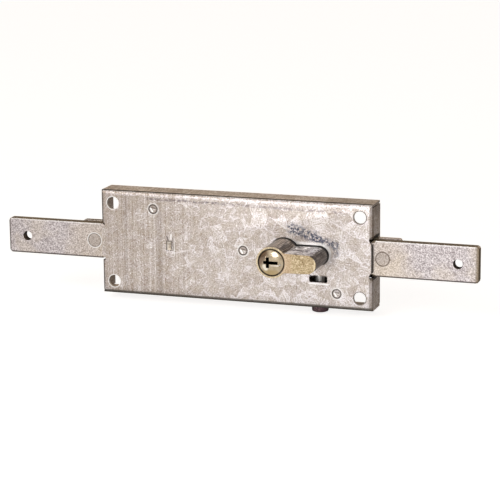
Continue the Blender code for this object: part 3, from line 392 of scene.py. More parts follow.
def galvanised(name, streaks):
    """Galvanised sheet, with or without roll streaks. Its colour is left open for marks to be laid over it."""
    made, tree, shader = start_material(name)
    at = add(tree, "ShaderNodeTexCoord").outputs["Object"]
    wobble = add(tree, "ShaderNodeTexNoise", None, {"Vector": at, "Scale": per_mm(FLAKE_EDGE_MM), "Detail": 2.0})
    centred = add(tree, "ShaderNodeVectorMath", TIMES_ADD, {
        0: wobble.outputs["Color"], 1: (FLAKE_EDGE_SHIFT,) * 3, 2: (-FLAKE_EDGE_SHIFT / 2,) * 3,
    })
    bent = add(tree, "ShaderNodeVectorMath", {"operation": "ADD"}, {0: at, 1: centred.outputs[0]})
    flakes = add(tree, "ShaderNodeTexVoronoi", None, {"Vector": bent.outputs[0], "Scale": per_mm(FLAKE_MM)})
    chance = add(tree, "ShaderNodeSeparateColor", None, {0: flakes.outputs["Color"]})
    along = add(tree, "ShaderNodeSeparateXYZ", None, {0: at})
    # painted light: more crystals shine towards the right, where the plate is lit brighter
    lighter_right = add(tree, "ShaderNodeMath", TIMES_ADD, {
        0: along.outputs["X"], 1: LIGHTER_RIGHT_PER_METRE, 2: chance.outputs["Blue"],
    })
    shining = add(tree, "ShaderNodeMapRange", None, {
        "Value": lighter_right.outputs[0], "From Min": SHINING_FROM, "From Max": SHINING_TO,
    })
    angle = add(tree, "ShaderNodeMath", TIMES, {0: chance.outputs["Green"], 1: 2 * math.pi})
    turned = add(tree, "ShaderNodeVectorRotate", {"rotation_type": "Y_AXIS"}, {
        "Vector": at, "Angle": angle.outputs[0],
    })
    drawn = add(tree, "ShaderNodeMapping", None, {
        "Vector": turned.outputs[0], "Scale": (per_mm(FERN_ACROSS_MM), per_mm(FERN_ALONG_MM), per_mm(FERN_ALONG_MM)),
    })
    ferns = add(tree, "ShaderNodeTexNoise", None, {"Vector": drawn.outputs[0], "Scale": 1.0, "Detail": 2.0})
    mottle = add(tree, "ShaderNodeTexNoise", None, {
        "Vector": at, "Scale": per_mm(MOTTLE_MM), "Detail": 2.0, "Roughness": 0.6,
    })
    feathered = add(tree, "ShaderNodeMath", TIMES, {0: shining.outputs[0], 1: ferns.outputs["Fac"]})
    patches = add(tree, "ShaderNodeTexNoise", None, {"Vector": at, "Scale": per_mm(PATCH_MM), "Detail": 3.0})
    cloud = add(tree, "ShaderNodeTexNoise", None, {"Vector": at, "Scale": per_mm(CLOUD_MM), "Detail": 2.0})

    tone = weighted(tree, ZINC_TONE, (
        (feathered.outputs[0], 0.1, 0.5),
        (chance.outputs["Red"], 0.5, 0.16),
        (ferns.outputs["Fac"], 0.5, 1.0),
        (mottle.outputs["Fac"], 0.5, 2.1),
        (patches.outputs["Fac"], 0.5, 0.35),
        (cloud.outputs["Fac"], 0.5, 0.2),
        # painted light: the tone grows lighter towards the right
        (along.outputs["X"], 0.0, 0.3),
    ))
    if streaks:
        run = add(tree, "ShaderNodeMapping", None, {
            "Vector": at, "Scale": (per_mm(STREAK_ACROSS_MM), per_mm(STREAK_ALONG_MM), per_mm(STREAK_ALONG_MM)),
        })
        rolled = add(tree, "ShaderNodeTexNoise", None, {"Vector": run.outputs[0], "Scale": 1.0, "Detail": 3.0})
        leftward = add(tree, "ShaderNodeMapRange", SMOOTH, {
            "Value": along.outputs["X"], "From Min": STREAKS_FADE_FROM, "From Max": STREAKS_FADE_TO,
        })
        darkened = add(tree, "ShaderNodeMath", TIMES_ADD, {0: rolled.outputs["Fac"], 1: STREAK_DEPTH, 2: STREAK_LIFT})
        tone = add(tree, "ShaderNodeMath", TIMES_ADD, {
            0: darkened.outputs[0], 1: leftward.outputs[0], 2: tone,
        }).outputs[0]
    zinc = add(tree, "ShaderNodeValToRGB", None, {"Fac": tone})
    ramp = zinc.color_ramp
    ramp.elements[0].color = linear(ZINC_DARK)
    ramp.elements[1].color = linear(ZINC_LIGHT)
    middle = ramp.elements.new(0.5)
    middle.color = linear(ZINC_MIDDLE)

    # Thin bright rims where two crystals meet, broken up, and only away from the rolled streaks
    borders = add(tree, "ShaderNodeTexVoronoi", {"feature": "DISTANCE_TO_EDGE"}, {
        "Vector": bent.outputs[0], "Scale": per_mm(FLAKE_MM),
    })
    rim = add(tree, "ShaderNodeMapRange", None, {
        "Value": borders.outputs["Distance"], "From Min": RIM_MM / FLAKE_MM, "From Max": 0.0, "To Min": 0.0,
        "To Max": RIM_SHARE,
    })
    kept = add(tree, "ShaderNodeMapRange", SMOOTH, {
        "Value": patches.outputs["Fac"], "From Min": 0.46, "From Max": 0.56,
    })
    unrolled = add(tree, "ShaderNodeMapRange", SMOOTH, {
        "Value": along.outputs["X"], "From Min": RIMS_FADE_FROM, "From Max": RIMS_FADE_TO,
    })
    rims = add(tree, "ShaderNodeMath", TIMES, {0: rim.outputs[0], 1: kept.outputs[0]})
    rims = add(tree, "ShaderNodeMath", TIMES, {0: rims.outputs[0], 1: unrolled.outputs[0]})

    # Small bright specks, and the chromate's faint pink in some places and straw in others
    specks = add(tree, "ShaderNodeTexNoise", None, {"Vector": at, "Scale": per_mm(SPECK_MM), "Detail": 1.0})
    bright = add(tree, "ShaderNodeMapRange", SMOOTH, {
        "Value": specks.outputs["Fac"], "From Min": 0.66, "From Max": 0.76, "To Max": SPECK_SHARE,
    })
    pink = add(tree, "ShaderNodeMapRange", None, {
        "Value": wobble.outputs["Fac"], "From Min": 0.35, "From Max": 0.65, "To Max": PINK_SHARE,
    })
    straw = add(tree, "ShaderNodeMapRange", None, {
        "Value": patches.outputs["Fac"], "From Min": 0.6, "From Max": 0.38, "To Max": STRAW_SHARE,
    })
    colour = layered(tree, zinc.outputs["Color"], (
        (pink.outputs[0], "DCCAC6"),
        (straw.outputs[0], "C9BFA6"),
        (rims.outputs[0], "F6F2F6"),
        (bright.outputs[0], "FFFFFF"),
    ))
    shader.inputs["Metallic"].default_value = ZINC_METALLIC
    rough = add(tree, "ShaderNodeMapRange", None, {"Value": tone, "To Min": ROUGH_DARK, "To Max": ROUGH_LIGHT})
    tree.links.new(rough.outputs[0], shader.inputs["Roughness"])
    relief = add(tree, "ShaderNodeBump", None, {
        "Height": mottle.outputs["Fac"], "Strength": MOTTLE_RELIEF, "Distance": MOTTLE_DEPTH,
    })
    tree.links.new(relief.outputs[0], shader.inputs["Normal"])
    return made, tree, shader, at, colour


print("crystals", FLAKE_MM, "mm across, mottle", MOTTLE_MM, "mm")

# %% [markdown]
# ## Marks on the case
# The front plate carries what its making and handling left: a dull line under the top bend, roll streaks and a few
# scratches. Over them lie painted light and shade: a blue-grey painted reflection of the half cylinder above its hole,
# painted highlights and painted shade along the edges of the cylinder's hole and the slot, round the three rivets,
# the lug and the fixing holes, and on the top and bottom bends. The seams and relief holes are so narrow that hardly
# any light gets in, so the walls inside them are painted nearly black. Each row is what marked() or ringed() asks
# for, in mm from the middle of the front plate.

# %% Tables of marks
# PAINTED_HIGHLIGHT is white paint for the highlights and glints on edges, rims and rivets
PAINTED_HIGHLIGHT, SCRATCH, NO_LIGHT = "FFFFFF", "F8F4F6", "14100E"
HOLE_GAP_SHADE, ROLLED, LUG_SHADOW = "120E0C", "77695F", "4E4640"
RIVET_SPOTS = ((-46.7, 19.9), (5.0, 0.0), (57.7, -20.3))
FIXING_SPOTS = ((-70.5, 22.0), (-70.5, -22.0), (70.5, 22.0), (70.5, -22.0))
CASE_MARKS = [
    # the cylinder's hole and the slot: painted highlights and painted shade along their edges, and a painted
    # reflection of the half cylinder above them
    ((31, 0, 1.4), (49, 0, 1.4), 5.0, 6.2, 0.9, PAINTED_HIGHLIGHT),
    ((31, 0, 0), (48, 0, 0), 5.35, 5.6, 0.95, HOLE_GAP_SHADE),
    ((28.5, 0, 0), (28.5, 0, 0), 8.75, 8.95, 0.85, HOLE_GAP_SHADE),
    ((42.2, 0, -15.5), (52.8, 0, -15.6), 0.2, 0.55, 0.9, PAINTED_HIGHLIGHT),
    ((42.4, 0, -11.0), (52.6, 0, -11.0), 0.1, 0.4, 0.8, "2A221E", True),
    # a blue-grey painted reflection of the half cylinder in the sheet
    ((33, 0, 13.8), (46, 0, 9.8), 1.4, 4.4, 0.95, "4C5266", True),
    ((46, 0, 9.4), (57, 0, 6.4), 0.9, 2.9, 0.92, "50566A", True),
    ((56, 0, 6.4), (57.5, 0, 1.0), 0.5, 2.2, 0.75, "626878", True),
    # the dull line under the top bend and the bright one on it
    ((-50, 0, 25.5), (-10, 0, 25.1), 0.2, 1.1, 0.8, "756C72", True),
    ((-10, 0, 25.1), (60, 0, 24.0), 0.1, 1.3, 0.6, "7C747A", True),
    # scratches
    ((-29.9, 0, 24.1), (-20.7, 0, 18.5), 0.05, 0.8, 0.4, SCRATCH, True),
    ((-34.5, 0, -4.0), (-25.7, 0, -1.7), 0.05, 0.7, 0.5, SCRATCH),
    ((-30.0, 0, -11.0), (-21.8, 0, -7.6), 0.05, 0.8, 0.4, SCRATCH),
    # painted shadow and painted highlights round the staked lug
    ((-35.4, 0, 4.4), (-35.4, 0, -2.6), 0.05, 0.4, 0.8, LUG_SHADOW),
    ((-34.7, 0, 4.4), (-34.7, 0, -5.4), 0.05, 0.4, 0.6, PAINTED_HIGHLIGHT),
    ((-38.9, 0, 5.0), (-38.3, 0, 3.2), 0.1, 0.7, 0.75, LUG_SHADOW),
    ((-36.4, 0, 6.2), (-36.7, 0, 3.8), 0.1, 0.8, 0.8, PAINTED_HIGHLIGHT),
    # roll streaks
    ((-43.6, 0, 24.0), (-43.2, 0, -26.0), 0.4, 2.6, 0.25, ROLLED),
    ((-62.8, 0, 26.0), (-63.3, 0, -26.0), 0.2, 1.6, 0.2, ROLLED),
    # shade on the top flange's right end and inside the bottom flange
    ((58, 9, 29), (77, 9, 29), 5.0, 9.0, 0.38, "6A5A4A"),
    ((64, 10, -27.8), (73, 13, -27.8), 2.0, 4.0, 0.8, "241E1A"),
    # painted shade at the top bend's back edge and along the bottom bend, and a painted highlight on the top bend
    ((-76.5, 1.9, 28.95), (76.5, 1.9, 28.95), 0.65, 1.0, 0.95, "1E1814"),
    ((-74, 0, 27.4), (74, 0, 27.4), 0.3, 1.0, 0.65, "F4F0F6", True),
    ((-77, 1.2, -28.9), (77, 1.2, -28.9), 0.5, 1.15, 0.95, "1A1512"),
    ((-77, 0.6, -28.4), (77, 0.6, -28.4), 0.3, 1.0, 0.7, "2A241E", True),
]
# painted highlights on each rivet end, over a grey disc and a darker streak
for x, z in RIVET_SPOTS:
    CASE_MARKS += [
        ((x, 0, z), (x, 0, z), 2.2, 2.4, 0.4, "9A908A"),
        ((x - 1.3, 0, z + 0.2), (x - 0.4, 0, z - 1.3), 0.3, 0.7, 0.9, PAINTED_HIGHLIGHT),
        ((x - 0.9, 0, z + 0.8), (x + 1.2, 0, z + 0.5), 0.15, 0.5, 0.7, "6A5E56"),
        ((x + 0.2, 0, z - 0.2), (x + 1.2, 0, z - 0.4), 0.1, 0.4, 0.6, PAINTED_HIGHLIGHT),
    ]
# the slit and the two relief holes beside the right window's tongue
TONGUE_MARKS = [((77.3, 0.6, -9.2), (77.3, 0.6, 9.2), 0.75, 0.95, 0.95, NO_LIGHT)]
for z in (-10.2, 10.2):
    TONGUE_MARKS += [
        ((77.3, 0.4, z), (77.3, 8, z), 1.6, 1.9, 0.9, NO_LIGHT),
        ((75.4, 3.2, z), (73.6, 12, z - 1.5), 1.5, 1.9, 0.95, NO_LIGHT),
        ((76.9, 2.2, 1.07 * z), (76.9, 13, 1.07 * z), 0.8, 1.1, 0.95, NO_LIGHT),
    ]
CASE_MARKS += TONGUE_MARKS
# what the lower relief hole shows of the cover's inner face
COVER_MARKS = [((73.0, 13.8, -13.0), (73.0, 13.8, -13.0), 2.6, 3.6, 0.97, NO_LIGHT)]
# painted highlights round the rivets and painted shade in the groove round each rivet end, then painted highlights on
# the left fixing holes and painted shade on the right ones
CASE_RINGS = [((x, 0, z), 3.1, 0.5, 0.5, PAINTED_HIGHLIGHT) for x, z in RIVET_SPOTS]
CASE_RINGS += [((x, 0, z), 2.35, 0.36, 0.9, "28211C") for x, z in RIVET_SPOTS]
CASE_RINGS += [((x, 0, z), 3.6, 0.3, 0.8, PAINTED_HIGHLIGHT if x < 0 else "5E544A") for x, z in FIXING_SPOTS]
print(len(CASE_MARKS), "marks and", len(CASE_RINGS), "rings on the case")

# %% [markdown]
# ## The case's and the cover's finish
# The sheet takes its marks, and then painted shade darkens its bends: at the right end and along the bottom a
# little, and at the left end nearly to black. The end walls are painted a little dimmer all over, as shade. Each of
# these is a mask along one axis, held to the front and, at the ends, off the tongues.

# %% Case and cover finish
BEND_FRONT_FULL, BEND_FRONT_NONE = 0.0018, 0.0026
OFF_TONGUE_FROM, OFF_TONGUE_TO = 0.0098, 0.0108
WALL_FROM, WALL_TO, WALL_SHARE, WALL_SHADE_TINT = 0.0772, 0.0774, 0.06, "7A6E62"
cover_zinc, tree, shader, at, colour = galvanised("galvanised_cover_sheet", False)
tree.links.new(marked(tree, at, colour, COVER_MARKS), shader.inputs["Base Color"])

case_zinc, tree, shader, at, colour = galvanised("galvanised_sheet_steel", True)
colour = ringed(tree, at, marked(tree, at, colour, CASE_MARKS), CASE_RINGS)
mirrored_at = add(tree, "ShaderNodeVectorMath", {"operation": "ABSOLUTE"}, {0: at})
span = add(tree, "ShaderNodeSeparateXYZ", None, {0: mirrored_at.outputs[0]})
side = add(tree, "ShaderNodeSeparateXYZ", None, {0: at})
near_front = add(tree, "ShaderNodeMapRange", SMOOTH, {
    "Value": side.outputs["Y"], "From Min": BEND_FRONT_FULL, "From Max": BEND_FRONT_NONE, "To Min": 1.0,
    "To Max": 0.0,
})
off_tongue = add(tree, "ShaderNodeMapRange", SMOOTH, {
    "Value": span.outputs["Z"], "From Min": OFF_TONGUE_FROM, "From Max": OFF_TONGUE_TO,
})
# painted shade on the bends, held to the front and off the tongues
bend_shade_masks = (
    # coordinate, where the mask starts and is full, its share and tint, and what else holds it
    (side.outputs["X"], 0.0751, 0.0760, 0.55, "857A6F", off_tongue.outputs[0]),
    (side.outputs["X"], -0.0763, -0.0768, 0.95, "1E1A18", off_tongue.outputs[0]),
    (side.outputs["Z"], -0.0267, -0.0273, 0.85, "6E6961", 1.0),
)
darkened = []
for place, start, end, share, tint, where in bend_shade_masks:
    bend = add(tree, "ShaderNodeMapRange", SMOOTH, {
        "Value": place, "From Min": start, "From Max": end, "To Max": share,
    })
    held = add(tree, "ShaderNodeMath", TIMES, {0: bend.outputs[0], 1: near_front.outputs[0]})
    held = add(tree, "ShaderNodeMath", TIMES, {0: held.outputs[0], 1: where})
    darkened.append((held.outputs[0], tint))
# painted shade: the end walls a little dimmer all over
wall_shade = add(tree, "ShaderNodeMapRange", SMOOTH, {
    "Value": span.outputs["X"], "From Min": WALL_FROM, "From Max": WALL_TO, "To Max": WALL_SHARE,
})
darkened.append((wall_shade.outputs[0], WALL_SHADE_TINT))
tree.links.new(layered(tree, colour, darkened), shader.inputs["Base Color"])
print("finished:", case_zinc.name, "and", cover_zinc.name)

# %% [markdown]
# ## Zinc-plated bar steel
# The two bars have a dull, sandy zinc skin with a yellow cast in patches, left by the passivating bath. A fine noise
# gives the grain, a coarser one the mottle, a broad one the cast, and the fine noise also drives a shallow bump. The
# grain is drawn a little coarser than it is, so that it shows at this picture's size.

# %% Zinc-plated steel
GRAIN_MM, SAND_MM, CAST_MM = 0.65, 1.8, 16.0
GRAIN_WEIGHT, SAND_WEIGHT, CAST_WEIGHT = 2.8, 0.4, 0.3
CAST_FROM, CAST_TO = 0.46, 0.66
PLATED_METALLIC, SHANK_METALLIC = 0.9, 0.55
GRAIN_RELIEF, GRAIN_DEPTH = 0.2, 0.0001


def plated(name, dark, light, cast, cast_share, roughness, marks=(), rings=()):
    """Sandy plated steel between a dark and a light tint, with a cast in patches, and marks and rings over it."""
    made, tree, shader = start_material(name)
    at = add(tree, "ShaderNodeTexCoord").outputs["Object"]
    grain = add(tree, "ShaderNodeTexNoise", None, {
        "Vector": at, "Scale": per_mm(GRAIN_MM), "Detail": 2.0, "Roughness": 0.6,
    })
    sand = add(tree, "ShaderNodeTexNoise", None, {"Vector": at, "Scale": per_mm(SAND_MM), "Detail": 2.0})
    patches = add(tree, "ShaderNodeTexNoise", None, {"Vector": at, "Scale": per_mm(CAST_MM), "Detail": 3.0})
    tone = weighted(tree, 0.5, (
        (grain.outputs["Fac"], 0.5, GRAIN_WEIGHT),
        (sand.outputs["Fac"], 0.5, SAND_WEIGHT),
        (patches.outputs["Fac"], 0.5, CAST_WEIGHT),
    ))
    spread = add(tree, "ShaderNodeClamp", None, {"Value": tone})
    metal = add(tree, "ShaderNodeMix", COLOURS, {"Factor": spread.outputs[0], "A": linear(dark), "B": linear(light)})
    amount = add(tree, "ShaderNodeMapRange", SMOOTH, {
        "Value": patches.outputs["Fac"], "From Min": CAST_FROM, "From Max": CAST_TO, "To Max": cast_share,
    })
    colour = layered(tree, metal.outputs["Result"], ((amount.outputs[0], cast),))
    colour = ringed(tree, at, marked(tree, at, colour, marks), rings)
    tree.links.new(colour, shader.inputs["Base Color"])
    shader.inputs["Metallic"].default_value = PLATED_METALLIC
    shader.inputs["Roughness"].default_value = roughness
    relief = add(tree, "ShaderNodeBump", None, {
        "Height": grain.outputs["Fac"], "Strength": GRAIN_RELIEF, "Distance": GRAIN_DEPTH,
    })
    tree.links.new(relief.outputs[0], shader.inputs["Normal"])
    return made


print("grain", GRAIN_MM, "mm, mottle", SAND_MM, "mm, cast", CAST_MM, "mm")

# %% [markdown]
# ## The bars and the other plated pieces
# The bars are straw-coloured round their rivets, darker at the ends, with painted shade along the bottom edge and a
# painted highlight along the top edge, and each rivet's head shows as a thin ring of painted shade, with a painted
# highlight round the left one. The other steels are the same recipe with other tints: oily threads, a darker copy
# that paints the shade on the bars' edges, a near-white copy that paints the highlight on the screw's shank, bright
# zinc, yellow zinc on what is hidden, grey for the cam and the springs, and black for the screw's head.

# %% Plated finishes
RIVET_MM = 82.5
BAR_MARKS = list(TONGUE_MARKS)
for way in (-1, 1):
    rivet = (RIVET_MM * way, 1.5, 0)
    BAR_MARKS += [
        (rivet, rivet, 7.0, 20.0, 0.22, "CDB98E"),
        (rivet, rivet, 3.4, 3.5, 0.3, "8A8078"),
        # painted shade along the bottom edge and a painted highlight along the top edge
        ((78 * way, 1.5, -9.8), (134 * way, 1.5, -9.8), 0.6, 1.0, 0.85, "332A24"),
        ((79 * way, 1.6, 9.4), (133 * way, 1.6, 9.4), 0.25, 0.6, 0.5, PAINTED_HIGHLIGHT),
    ]
BAR_MARKS += [
    ((-134.3, 1.5, -9.8), (-134.3, 1.5, 9.8), 0.55, 1.0, 0.8, "4E443C"),
    ((134.3, 1.5, -9.8), (134.3, 1.5, 9.8), 0.7, 2.4, 0.75, "7C6C50"),
]
# painted shade in the seam round each rivet's head, and a painted highlight round the left one
BAR_RINGS = [
    ((RIVET_MM, 1.5, 0), 3.75, 0.42, 0.8, "5A4C40"),
    ((-RIVET_MM, 1.5, 0), 4.1, 0.4, 0.75, PAINTED_HIGHLIGHT),
    ((-RIVET_MM, 1.5, 0), 3.7, 0.36, 0.6, "5E544C"),
]
bar_zinc = plated("passivated_zinc_plate", "8A8082", "F4EEF0", "D8C8A6", 0.2, 0.44, BAR_MARKS, BAR_RINGS)
thread_steel = plated("oiled_tapped_thread", "1E1816", "5E544E", "4A4038", 0.4, 0.4)
# a darker copy that paints shade on the bars' rims, the rod holes' walls and the left slide's top
shaded_edge_steel = plated("rolled_edge_painted_shade", "3A3028", "8C7E6A", "7A6A48", 0.5, 0.5)
bright_shank_steel = plated("shank_painted_highlight", "DAD8D6", "FFFFFF", "F0EEEA", 0.3, 0.42)
steel = plated("bright_zinc_plated_steel", "968C84", "EAE4DE", "CFC4B0", 0.3, 0.34)
hidden_steel = plated("yellow_zinc_plated_steel", "8F8468", "E5DBB4", "D4C382", 0.6, 0.4)
cam_steel = plated("sintered_steel", "4A4643", "8B8681", "6E655C", 0.4, 0.55)
spring_wire = plated("spring_steel_wire", "6E6C6A", "C8C6C4", "A8A29A", 0.3, 0.3)
screw_black = plated("blackened_screw_steel", "443438", "9A8286", "68525A", 0.6, 0.42)
# the screw's shank is near-white and less metallic, a painted highlight for the bright shank seen in the slot
bright_shank_steel.node_tree.nodes["Principled BSDF"].inputs["Metallic"].default_value = SHANK_METALLIC
print("nine plated steels,", len(BAR_MARKS), "marks and", len(BAR_RINGS), "rings on the bars")

# %% [markdown]
# ## Brass
# The half cylinder is drawn brass: pale and matt on its milled front, browned and streaked along its length where
# the draw bench and handling have marked it, and nearly grey on top of its lobe, where the polish has worn through
# in spots. The plug's domed face is polished. Turning and drawing marks are noise stretched along the cut.

# %% Brass
DRAW_ACROSS_MM, DRAW_ALONG_MM = 0.55, 14.0
STAIN_MM = 3.2
BRASS_METALLIC, BRASS_DEPTH = 0.95, 0.0001


def brass(name, colours, roughness, along, across, line_share, stain_share, relief_share):
    """Brass from its dark, middle and light colours, with marks of the given length and width in mm."""
    made, tree, shader = start_material(name)
    at = add(tree, "ShaderNodeTexCoord").outputs["Object"]
    marks = add(tree, "ShaderNodeMapping", None, {
        "Vector": at, "Scale": (per_mm(across), per_mm(along), per_mm(across)),
    })
    lines = add(tree, "ShaderNodeTexNoise", None, {"Vector": marks.outputs[0], "Scale": 1.0, "Detail": 2.0})
    stains = add(tree, "ShaderNodeTexNoise", None, {
        "Vector": at, "Scale": per_mm(STAIN_MM), "Detail": 4.0, "Roughness": 0.65,
    })
    tone = weighted(tree, 0.5, (
        (lines.outputs["Fac"], 0.5, line_share),
        (stains.outputs["Fac"], 0.5, stain_share),
    ))
    metal = add(tree, "ShaderNodeValToRGB", None, {"Fac": tone})
    ramp = metal.color_ramp
    ramp.elements[0].color = linear(colours[0])
    ramp.elements[1].color = linear(colours[2])
    middle = ramp.elements.new(0.5)
    middle.color = linear(colours[1])
    tree.links.new(metal.outputs["Color"], shader.inputs["Base Color"])
    shader.inputs["Metallic"].default_value = BRASS_METALLIC
    shader.inputs["Roughness"].default_value = roughness
    relief = add(tree, "ShaderNodeBump", None, {
        "Height": lines.outputs["Fac"], "Strength": relief_share, "Distance": BRASS_DEPTH,
    })
    tree.links.new(relief.outputs[0], shader.inputs["Normal"])
    return made, tree, shader, at, metal.outputs["Color"]


print("drawing marks", DRAW_ACROSS_MM, "mm across and", DRAW_ALONG_MM, "mm long")

# %% [markdown]
# ## The half cylinder's three brasses
# The milled front has a ring of painted shade round the plug, painted highlights on the ring outside it and along
# the lobe's right end, and a few brighter and duller places. The sides and the lobe's top are darker, with painted
# shade where they enter the case and at the lobe's end, which faces away from the light.

# %% Half cylinder's brasses
AXIS = (28.5, -22.5, 0)
FRONT_MARKS = [
    # painted highlight on the ring outside the plug, and painted shade in the gap round it
    (AXIS, AXIS, 8.2, 8.6, 0.25, "FFF6DC"),
    (AXIS, AXIS, 7.4, 7.7, 0.9, "3A2C1E"),
    # painted highlight along the lobe's right end
    ((52.4, -22.5, 2.5), (52.0, -22.5, -3.4), 0.1, 0.7, 0.6, "F4E6C4"),
    ((50.6, -22.5, 3.0), (50.4, -22.5, -3.0), 0.2, 1.0, 0.3, "9A8462", True),
    ((36.5, -22.5, 4.6), (36.5, -22.5, -4.6), 1.0, 4.5, 0.45, "C8AC94"),
]
# painted shade on the lobe's end, which faces away from the light
SIDE_MARKS = [((53.5, -22, -1), (53.5, 0, -1), 4.5, 7.0, 0.5, "241C1C")]
# painted shade where the sides enter the case
JUNCTION_SHADE_FROM, JUNCTION_SHADE_TO, JUNCTION_SHADE_SHARE, JUNCTION_SHADE_TINT = -0.0030, -0.0012, 0.95, "0E0A0A"
SIDES = (
    ("tarnished_drawn_brass", ("2A2220", "6E655C", "C6BCB2"), 0.33, DRAW_ALONG_MM, DRAW_ACROSS_MM, 2.4, 1.6, 0.15),
    ("worn_nickelled_brass", ("4A424A", "B6AEAE", "FFFFFF"), 0.34, 1.2, 1.2, 1.8, 6.0, 0.1),
)

front_brass, tree, shader, at, colour = brass(
    "milled_brass", ("806C4E", "B5A17E", "E2D4B8"), 0.42, 0.6, 0.6, 2.2, 0.9, 0.1
)
tree.links.new(marked(tree, at, colour, FRONT_MARKS), shader.inputs["Base Color"])
shaded_brasses = []
for recipe in SIDES:
    made, tree, shader, at, colour = brass(*recipe)
    split = add(tree, "ShaderNodeSeparateXYZ", None, {0: at})
    junction_shade = add(tree, "ShaderNodeMapRange", SMOOTH, {
        "Value": split.outputs["Y"], "From Min": JUNCTION_SHADE_FROM, "From Max": JUNCTION_SHADE_TO, "To Max": JUNCTION_SHADE_SHARE,
    })
    colour = marked(tree, at, colour, SIDE_MARKS)
    tree.links.new(layered(tree, colour, ((junction_shade.outputs[0], JUNCTION_SHADE_TINT),)), shader.inputs["Base Color"])
    shaded_brasses.append(made)
side_brass, worn_brass = shaded_brasses
print("half cylinder:", front_brass.name, side_brass.name, worn_brass.name)

# %% [markdown]
# ## The plug's brass
# The plug is polished, so most of what it shows is the room. Its domed face carries painted reflections, darker at
# the bottom and the upper left and brighter low on the left and under the keyway, a small dimple painted as a ring
# of shade round a painted highlight, painted shade in the groove round its rim and shade inside the keyway.

# %% Plug and pins
PLUG_MARKS = [
    # painted reflections on the dome: darker at the bottom and upper left, brighter low on the left and under the
    # keyway
    ((26.0, -22.9, -5.6), (31.0, -22.9, -5.6), 0.8, 2.6, 0.6, "B49C68"),
    ((22.2, -22.9, 0.5), (24.6, -22.9, 5.2), 0.8, 3.6, 0.75, "705A4E"),
    ((24.8, -22.9, -2.2), (25.6, -22.9, -3.2), 0.6, 1.7, 0.8, "FFF8E8"),
    ((28.6, -22.9, -1.5), (32.4, -22.9, -1.4), 0.15, 0.6, 0.9, "FFF8EE"),
    # a small dimple: a ring of painted shade round a painted highlight
    ((33.4, -22.9, -0.9), (33.4, -22.9, -0.9), 0.55, 0.75, 0.7, "5A4630"),
    ((33.4, -22.9, -0.9), (33.4, -22.9, -0.9), 0.15, 0.45, 0.9, PAINTED_HIGHLIGHT),
]
HOLLOW_FROM, HOLLOW_TO, HOLLOW_SHARE = -0.0224, -0.0210, 0.8
# painted shade in the groove round the plug's rim
RIM_FROM, RIM_TO, RIM_SHADE_SHARE = 0.0064, 0.0068, 0.8
pin_brass = brass("turned_brass", ("B08A48", "D0AE66", "E8CC84"), 0.3, 1.0, 1.0, 0.8, 0.6, 0.1)[0]

plug_brass, tree, shader, at, colour = brass(
    "polished_brass", ("8C7A66", "BCAC92", "E2D6C2"), 0.14, 2.0, 2.0, 0.5, 0.5, 0.02
)
colour = marked(tree, at, colour, PLUG_MARKS)
deep = add(tree, "ShaderNodeSeparateXYZ", None, {0: at})
hollow = add(tree, "ShaderNodeMapRange", SMOOTH, {
    "Value": deep.outputs["Y"], "From Min": HOLLOW_FROM, "From Max": HOLLOW_TO, "To Max": HOLLOW_SHARE,
})
out = add(tree, "ShaderNodeVectorMath", APART, {0: at, 1: Vector(AXIS) / 1000})
rim_shade = add(tree, "ShaderNodeMapRange", SMOOTH, {
    "Value": out.outputs["Value"], "From Min": RIM_FROM, "From Max": RIM_TO, "To Max": RIM_SHADE_SHARE,
})
colour = layered(tree, colour, ((rim_shade.outputs[0], "33261C"), (hollow.outputs[0], "3A2A22")))
tree.links.new(colour, shader.inputs["Base Color"])
print("plug and pins:", plug_brass.name, pin_brass.name)

# %% [markdown]
# ## Finer copies of the CAD pieces
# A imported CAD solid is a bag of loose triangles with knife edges. Merging its doubles, dissolving the flat triangles
# into whole faces and adding a narrow Bevel modifier gives real pressed and machined edges that catch the light,
# without moving a single face. The copy rides on the same body and stands in for the node. The folded case and its
# cover need nothing more.

# %% Refined copies
DOUBLE, FLAT, NEAR = 1e-6, math.radians(0.5), 0.0001
BEVEL_ANGLE, BEVEL_SEGMENTS = math.radians(40), 2
# a face looks along an axis if its normal's share of it is over FACING, and across it if under ACROSS
FACING, ACROSS = 0.9, 0.1


def finish_piece(name, bm, body, materials, angle=35.0):
    """A smooth-shaded piece from a bmesh, riding on a body."""
    mesh = bpy.data.meshes.new(name)
    bm.to_mesh(mesh)
    bm.free()
    mesh.shade_smooth()
    mesh.set_sharp_from_angle(angle=math.radians(angle))
    for material in materials:
        mesh.materials.append(material)
    made = bpy.data.objects.new(name, mesh)
    bpy.context.scene.collection.objects.link(made)
    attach(made, body)
    return made


def merged_copy(node):
    """A node's mesh as a bmesh of whole faces that point outwards."""
    bm = bmesh.new()
    bm.from_mesh(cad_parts[node].data)
    bmesh.ops.remove_doubles(bm, verts=bm.verts, dist=DOUBLE)
    bmesh.ops.dissolve_limit(bm, angle_limit=FLAT, verts=bm.verts, edges=bm.edges)
    bmesh.ops.recalc_face_normals(bm, faces=bm.faces)
    return bm


def swelled(bm, centre, radius, new_radius):
    """Let the vertices at this radius from an axis along Y come out to a new radius."""
    for vert in bm.verts:
        reach = Vector((vert.co.x - centre[0], 0, vert.co.z - centre[1]))
        if abs(reach.length - radius) < NEAR:
            vert.co += reach.normalized() * (new_radius - radius)


def refined(node, name, body, materials, edge_mm, bm=None):
    """The finer piece that stands in for a node, with its edges bevelled by edge_mm if that isn't 0."""
    made = finish_piece(name, bm or merged_copy(node), body, materials)
    if edge_mm:
        edge = made.modifiers.new("edge", "BEVEL")
        edge.width = edge_mm / 1000
        edge.segments = BEVEL_SEGMENTS
        edge.limit_method = "ANGLE"
        edge.angle_limit = BEVEL_ANGLE
        edge.harden_normals = True
    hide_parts(node)
    return made


refined("case", "folded_case", "lock_case", [case_zinc], 0.12)
refined("back_cover", "cover_plate", "lock_case", [cover_zinc], 0.12)
print("case and cover refined")
